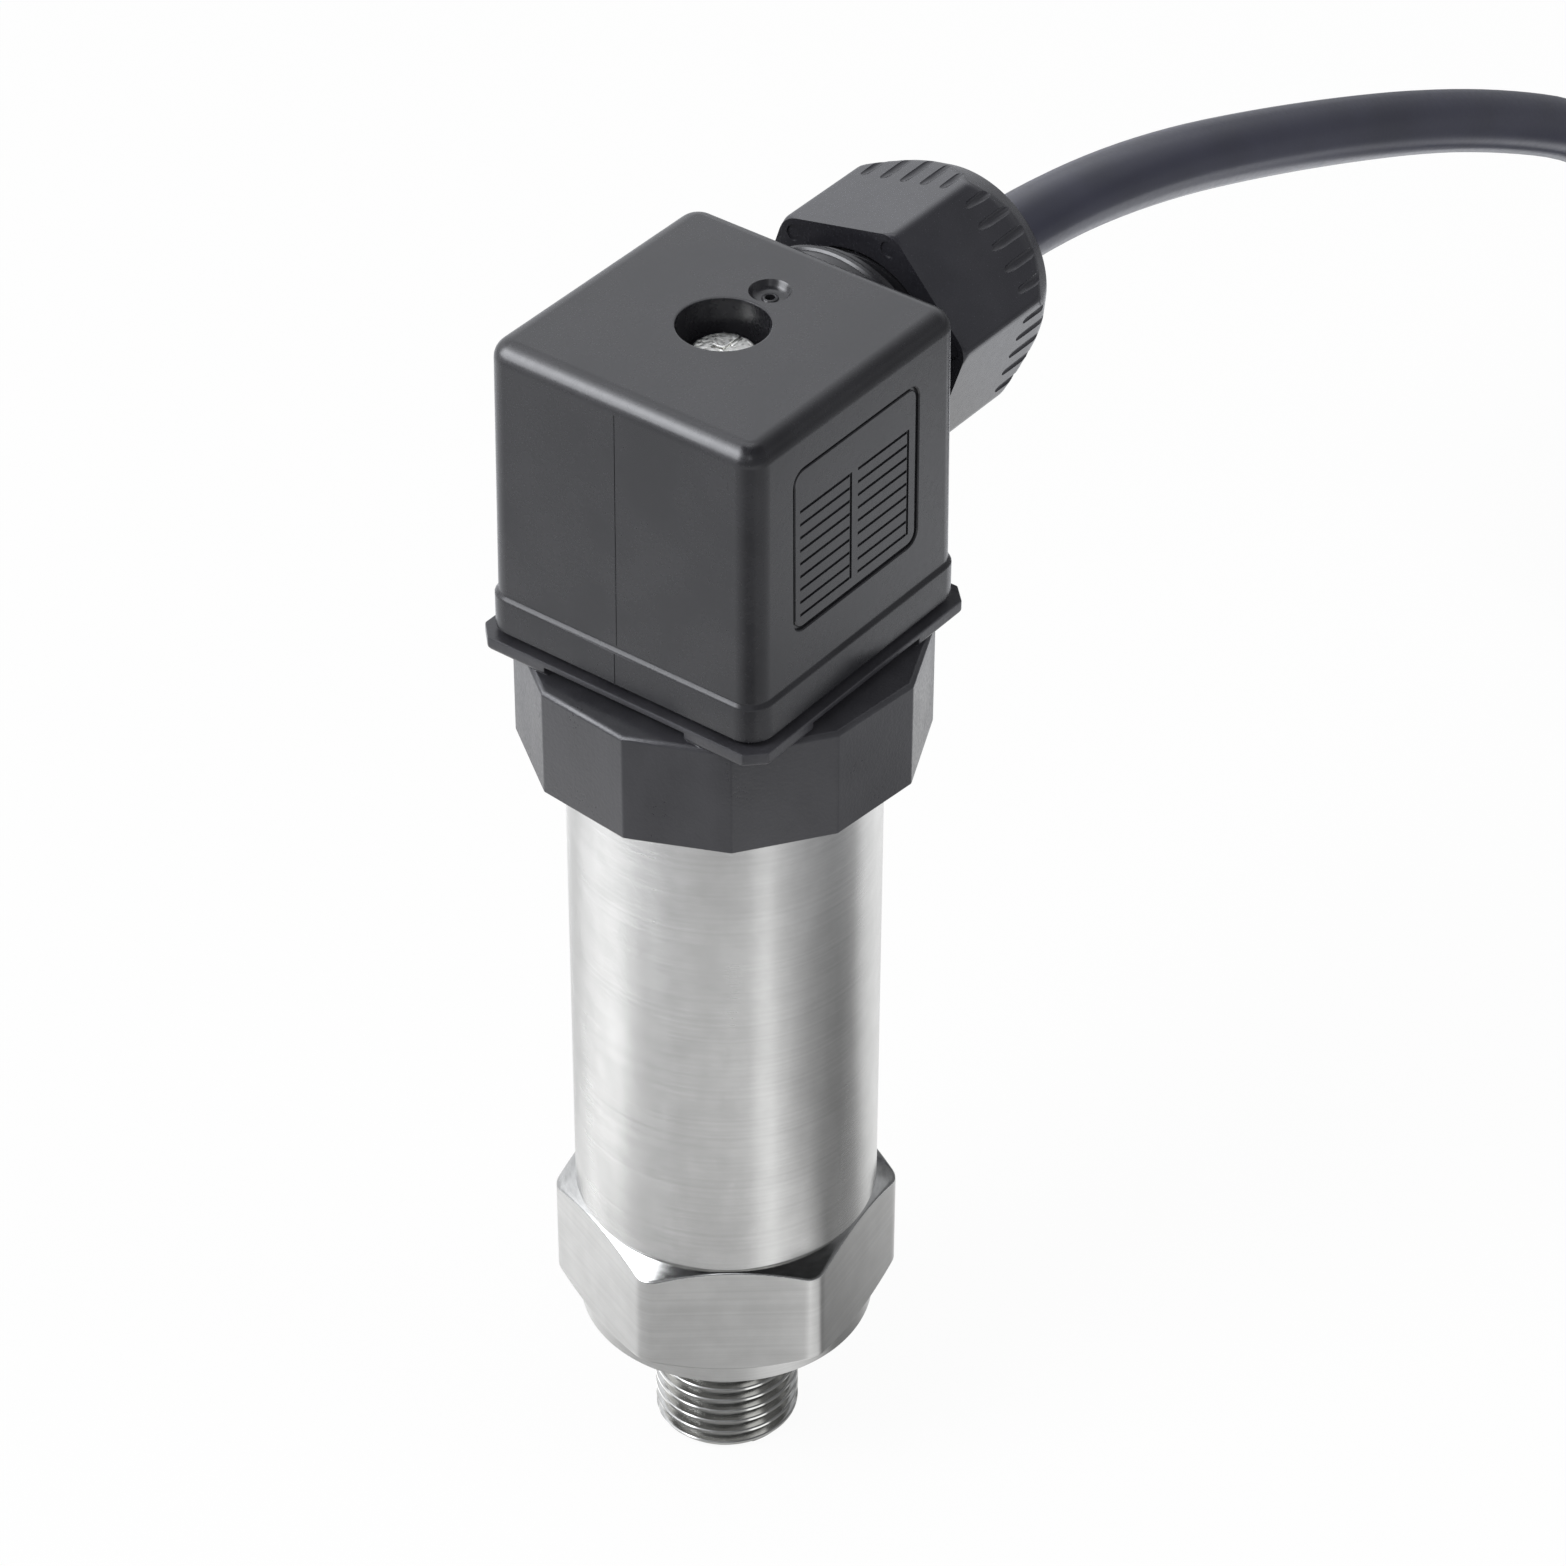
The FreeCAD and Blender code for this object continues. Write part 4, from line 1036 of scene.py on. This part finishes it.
ferrules = []
for index, finish in ((-1, brown_core), (0, blue_core), (1, black_core)):
    angle = math.radians(tail_turn + core_spread * index)
    way = Vector((-math.cos(angle), math.sin(angle), -0.08)).normalized()
    root = tail_end + Vector((tail_way.y, -tail_way.x, 0)) * core_spacing * index
    core = lay_cord(f"core_{index + 2}", (
        root - tail_way * 3,
        root + tail_way * 2,
        root + way * 8 + Vector((0, 0, 0.5)),
        root + way * 16.2,
    ), core_radius, 8, 5)
    put_on(core, finish, "plug", ["bare_cores"])
    turn = way.to_track_quat("Z", "Y").to_matrix().to_4x4()
    place = Matrix.Translation((root + way * 16) * MM) @ turn
    collar = turned(f"ferrule_collar_{index + 2}", (
        (0.8, 0.0), (1.08, 0.15), (1.1, 0.6), (0.95, 2.2), (0.62, 2.95), (0.5, 3.0)), 32)
    collar.data.transform(place)
    put_on(collar, finish, "plug", ["core_ferrules"])
    sleeve = turned(f"ferrule_sleeve_{index + 2}", (
        (0.45, 2.5), (0.5, 3.1), (0.5, 3.8), (0.42, 4.0), (0.5, 4.3), (0.42, 4.9), (0.5, 5.2),
        (0.42, 5.8), (0.5, 6.1), (0.42, 6.7), (0.5, 7.0), (0.5, 7.8), (0.4, 8.0)), 24)
    sleeve.data.transform(place)
    put_on(sleeve, tinned_copper, "plug", ["core_ferrules"])
    ferrules += [collar, sleeve]

put_on(cable, sheath, "plug", ["cable", "cable_coil", "cable_tail"])


# Pieces that keep the model's own shape

kept = {
    "sensor_o_ring": fluoro_rubber,
    "housing_o_ring": fluoro_rubber,
    "sensor_cell": alumina,
    "sensor_lock_ring": turned_brass,
    "screw_insert": turned_brass,
    "board_holder": natural_nylon,
    "circuit_board": laminate,
    "board_components": epoxy,
    "sensor_flex_lead": polyimide,
    "board_leads": silicone,
    "base_gasket": nitrile,
    "screw_washer": nitrile,
    "gland_grommet": nitrile,
    "gland_washer": acetal,
    "terminal_insert": filled_nylon,
    "terminal_screws": zinc_plate,
    "inner_cores": brown_core,
}
for contact in ("line_1", "line_2", "signal", "earth"):
    kept[contact + "_blade"] = tinned_brass
    kept[contact + "_clamp"] = nickel_plate
for name, finish in kept.items():
    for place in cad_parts[name].material_slots:
        place.link = "OBJECT"
        place.material = finish


# Studio

floor_reach = 3000
card_strength = 12.0
facing_camera = camera_azimuth - math.pi / 2


def make_floor():
    """A pale floor that stays near white to the camera and keeps the object's soft shadow."""
    floor = block("floor", (-floor_reach, -floor_reach, floor_z - 5),
                  (floor_reach, floor_reach, floor_z - 0.02))
    paper = bpy.data.materials.new("white_paper_floor")
    paper.use_nodes = True
    tree = paper.node_tree
    tree.nodes.clear()
    matt = add_node(tree, "ShaderNodeBsdfDiffuse", {"Color": to_linear("#eeeeee")})
    glow = add_node(tree, "ShaderNodeEmission", {"Color": to_linear("#ffffff"), "Strength": 1.0})
    seen = add_node(tree, "ShaderNodeLightPath").outputs["Is Camera Ray"]
    share = add_node(tree, "ShaderNodeMath", {0: seen, 1: 0.94}, operation="MULTIPLY")
    both = add_node(tree, "ShaderNodeMixShader", {0: share.outputs[0], 1: matt.outputs[0],
                                                  2: glow.outputs[0]})
    add_node(tree, "ShaderNodeOutputMaterial", {"Surface": both.outputs[0]})
    floor.data.materials.append(paper)


def add_card(name, outline, levels, tint=(1, 1, 1)):
    """A ring of card seen only in the object's gloss, its brightness set by direction."""
    card = turned(name, outline, 96)
    points = [vertex.co.copy() for vertex in card.data.vertices]
    faces = [tuple(face.vertices) for face in card.data.polygons if len(face.vertices) == 4]
    card.data = bpy.data.meshes.new(name)
    card.data.from_pydata(points, [], faces)
    paint = bpy.data.materials.new(name)
    paint.use_nodes = True
    tree = paint.node_tree
    tree.nodes.clear()
    place = add_node(tree, "ShaderNodeTexCoord").outputs["Object"]
    split = add_node(tree, "ShaderNodeSeparateXYZ", {0: place})
    angle = add_node(tree, "ShaderNodeMath", {0: split.outputs["Y"], 1: split.outputs["X"]},
                     operation="ARCTAN2")
    turns = 0.5 / math.pi
    share = add_node(tree, "ShaderNodeMath", {
        0: angle.outputs[0], 1: turns, 2: 0.5 - facing_camera * turns}, operation="MULTIPLY_ADD")
    wrapped = add_node(tree, "ShaderNodeMath", {0: share.outputs[0], 1: 1.0, 2: 0.0},
                       operation="WRAP")
    ramp = add_node(tree, "ShaderNodeValToRGB", {0: wrapped.outputs[0]})
    ends = ramp.color_ramp.elements
    for turn, level in levels.items():
        stop = ends[0 if turn < 0 else -1] if abs(turn) == 180 else ends.new((turn + 180) / 360)
        stop.position = (turn + 180) / 360
        stop.color = [level * part / card_strength for part in tint] + [1]
    glow = add_node(tree, "ShaderNodeEmission", {
        "Color": ramp.outputs[0], "Strength": card_strength})
    add_node(tree, "ShaderNodeOutputMaterial", {"Surface": glow.outputs[0]})
    card.data.materials.append(paint)
    paint.cycles.emission_sampling = "NONE"
    for kind in ("camera", "diffuse", "shadow", "transmission"):
        setattr(card, "visible_" + kind, False)


# Brightness of each card by degrees round the object, 0 towards the camera and + to its right.
# On the steel, the thread, hexagon, near and upper cards give the bands, and the dark zenith the
# hollow above the hexagon. On the cap, the far and outer cards give the grey faces and the dark
# front edge, and the walls, window and ceiling the top and the bright lines of its fillets.
thread_levels = {
    -180: 0.5, -160: 0.9, -145: 2.2, -100: 2.2, -76: 1.6, -66: 0.4, -30: 0.34, 14: 0.4, 22: 0.6,
    26: 1.9, 42: 1.9, 47: 0.35, 74: 0.2, 84: 0.6, 95: 0.2, 140: 0.15, 180: 0.5,
}
hexagon_levels = {
    -180: 0.95, -145: 0.95, -125: 1.15, -100: 1.2, -60: 0.7, -25: 0.64, 0: 0.66, 12: 0.74, 30: 1.2,
    55: 1.1, 72: 0.25, 100: 0.4, 126: 1.05, 150: 1.1, 180: 0.95,
}
near_levels = {
    -180: 0.95, -165: 1.1, -133: 0.85, -115: 1.1, -100: 1.42, -85: 1.5, -78: 1.42, -68: 1.05,
    -56: 0.86, -36: 0.8, -20: 0.88, 9: 0.9, 17: 0.95, 23: 1.25, 31: 1.35, 37: 1.0, 50: 0.62,
    62: 0.42, 75: 0.30, 87: 0.22, 100: 0.34, 114: 0.9, 133: 1.1, 150: 1.05, 180: 0.95,
}
upper_levels = {turn: level * 1.13 for turn, level in near_levels.items()}
far_levels = {
    -180: 0.9, -150: 1.2, -110: 1.1, -74: 1.03, -45: 0.85, -25: 0.4, -13: 0.08, 13: 0.08, 25: 0.35,
    50: 0.6, 88: 0.85, 98: 0.6, 108: 1.35, 125: 1.4, 150: 1.2, 180: 0.9,
}
outer_levels = {
    -180: 0.7, -150: 1.1, -110: 1.2, -74: 1.0, -30: 0.85, 30: 0.85, 60: 0.5, 90: 0.35, 106: 0.35,
    130: 0.25, 160: 0.3, 180: 0.7,
}
low_levels = {
    -180: 0.9, -150: 1.1, -110: 0.9, -95: 1.5, -60: 1.4, -45: 0.2, 0: 0.3, 60: 0.25, 110: 0.2,
    135: 0.2, 160: 0.3, 180: 0.9,
}
high_levels = {
    -180: 1.4, -140: 1.3, -110: 1.9, -95: 8.0, -60: 8.0, -45: 0.8, -20: 0.4, 20: 0.2, 60: 0.2,
    80: 0.3, 105: 0.3, 140: 0.6, 165: 1.2, 180: 1.4,
}
window_levels = {
    -180: 1.4, -140: 1.3, -115: 2.0, -95: 11.0, -60: 11.0, -45: 1.0, -10: 0.3, 0: 2.5, 10: 0.2,
    60: 0.1, 110: 0.2, 140: 0.6, 165: 1.2, 180: 1.4,
}
ceiling_levels = {
    -180: 1.2, -130: 2.4, -110: 4.0, -75: 6.0, -62: 0.6, -40: 0.2, 0: 0.03, 60: 0.03, 110: 0.05,
    150: 0.8, 180: 1.2,
}
zenith_levels = {
    -180: 2.2, -135: 2.0, -115: 0.05, 0: 0.02, 115: 0.05, 140: 1.6, 180: 2.2,
}


def add_lamp(name, place, aim, size, power):
    """A soft square lamp, not seen by the camera itself."""
    light = bpy.data.lights.new(name, "AREA")
    light.shape = "SQUARE"
    light.size = size * MM
    light.energy = power
    lamp = link_object(name, light)
    lamp.location = Vector(place) * MM
    lamp.rotation_mode = "QUATERNION"
    lamp.rotation_quaternion = (Vector(aim) - Vector(place)).to_track_quat("-Z", "Y")
    lamp.visible_camera = False
    lamp.visible_glossy = False


def light_world():
    """Soft light from all round; what looks straight at it sees white."""
    world = bpy.data.worlds.new("studio")
    bpy.context.scene.world = world
    world.use_nodes = True
    tree = world.node_tree
    tree.nodes.clear()
    white = to_linear("#ffffff")
    soft = add_node(tree, "ShaderNodeBackground", {"Color": white, "Strength": 0.62})
    plain = add_node(tree, "ShaderNodeBackground", {"Color": white, "Strength": 1.0})
    path = add_node(tree, "ShaderNodeLightPath")
    seen = path.outputs["Is Camera Ray"]
    for kind in ("Is Glossy Ray", "Is Transmission Ray"):
        seen = add_node(tree, "ShaderNodeMath", {0: seen, 1: path.outputs[kind]},
                        operation="ADD", use_clamp=True).outputs[0]
    both = add_node(tree, "ShaderNodeMixShader", {
        0: seen, 1: soft.outputs[0], 2: plain.outputs[0]})
    add_node(tree, "ShaderNodeOutputWorld", {"Surface": both.outputs[0]})


make_floor()
card_z = floor_z + 0.4
cool = (0.975, 0.99, 1.03)
for name, outline, levels in (
    ("thread_card", ((7.2, card_z), (18, card_z)), thread_levels),
    ("hexagon_card", ((18, card_z), (50, card_z)), hexagon_levels),
    ("near_card", ((50, card_z), (88, card_z)), near_levels),
    ("upper_card", ((88, card_z), (124, card_z)), upper_levels),
):
    add_card(name, outline, levels)
for name, outline, levels in (
    ("far_card", ((124, card_z), (205, card_z)), far_levels),
    ("outer_card", ((205, card_z), (330, card_z), (430, 40)), outer_levels),
    ("low_wall", ((430, 40), (480, 180)), low_levels),
    ("high_wall", ((480, 180), (485, 330)), high_levels),
    ("window_wall", ((485, 330), (500, 620)), window_levels),
    ("ceiling", ((500, 620), (325, 678)), ceiling_levels),
    ("zenith", ((325, 678), (1, 720)), zenith_levels),
):
    add_card(name, outline, levels, cool)
add_lamp("key_lamp", (-700, 250, 900), (0, 0, 60), 500, 6.0)
add_lamp("fill_lamp", (300, -900, 700), (0, 0, 60), 500, 2.5)
light_world()
bpy.context.scene.view_settings.view_transform = "Standard"
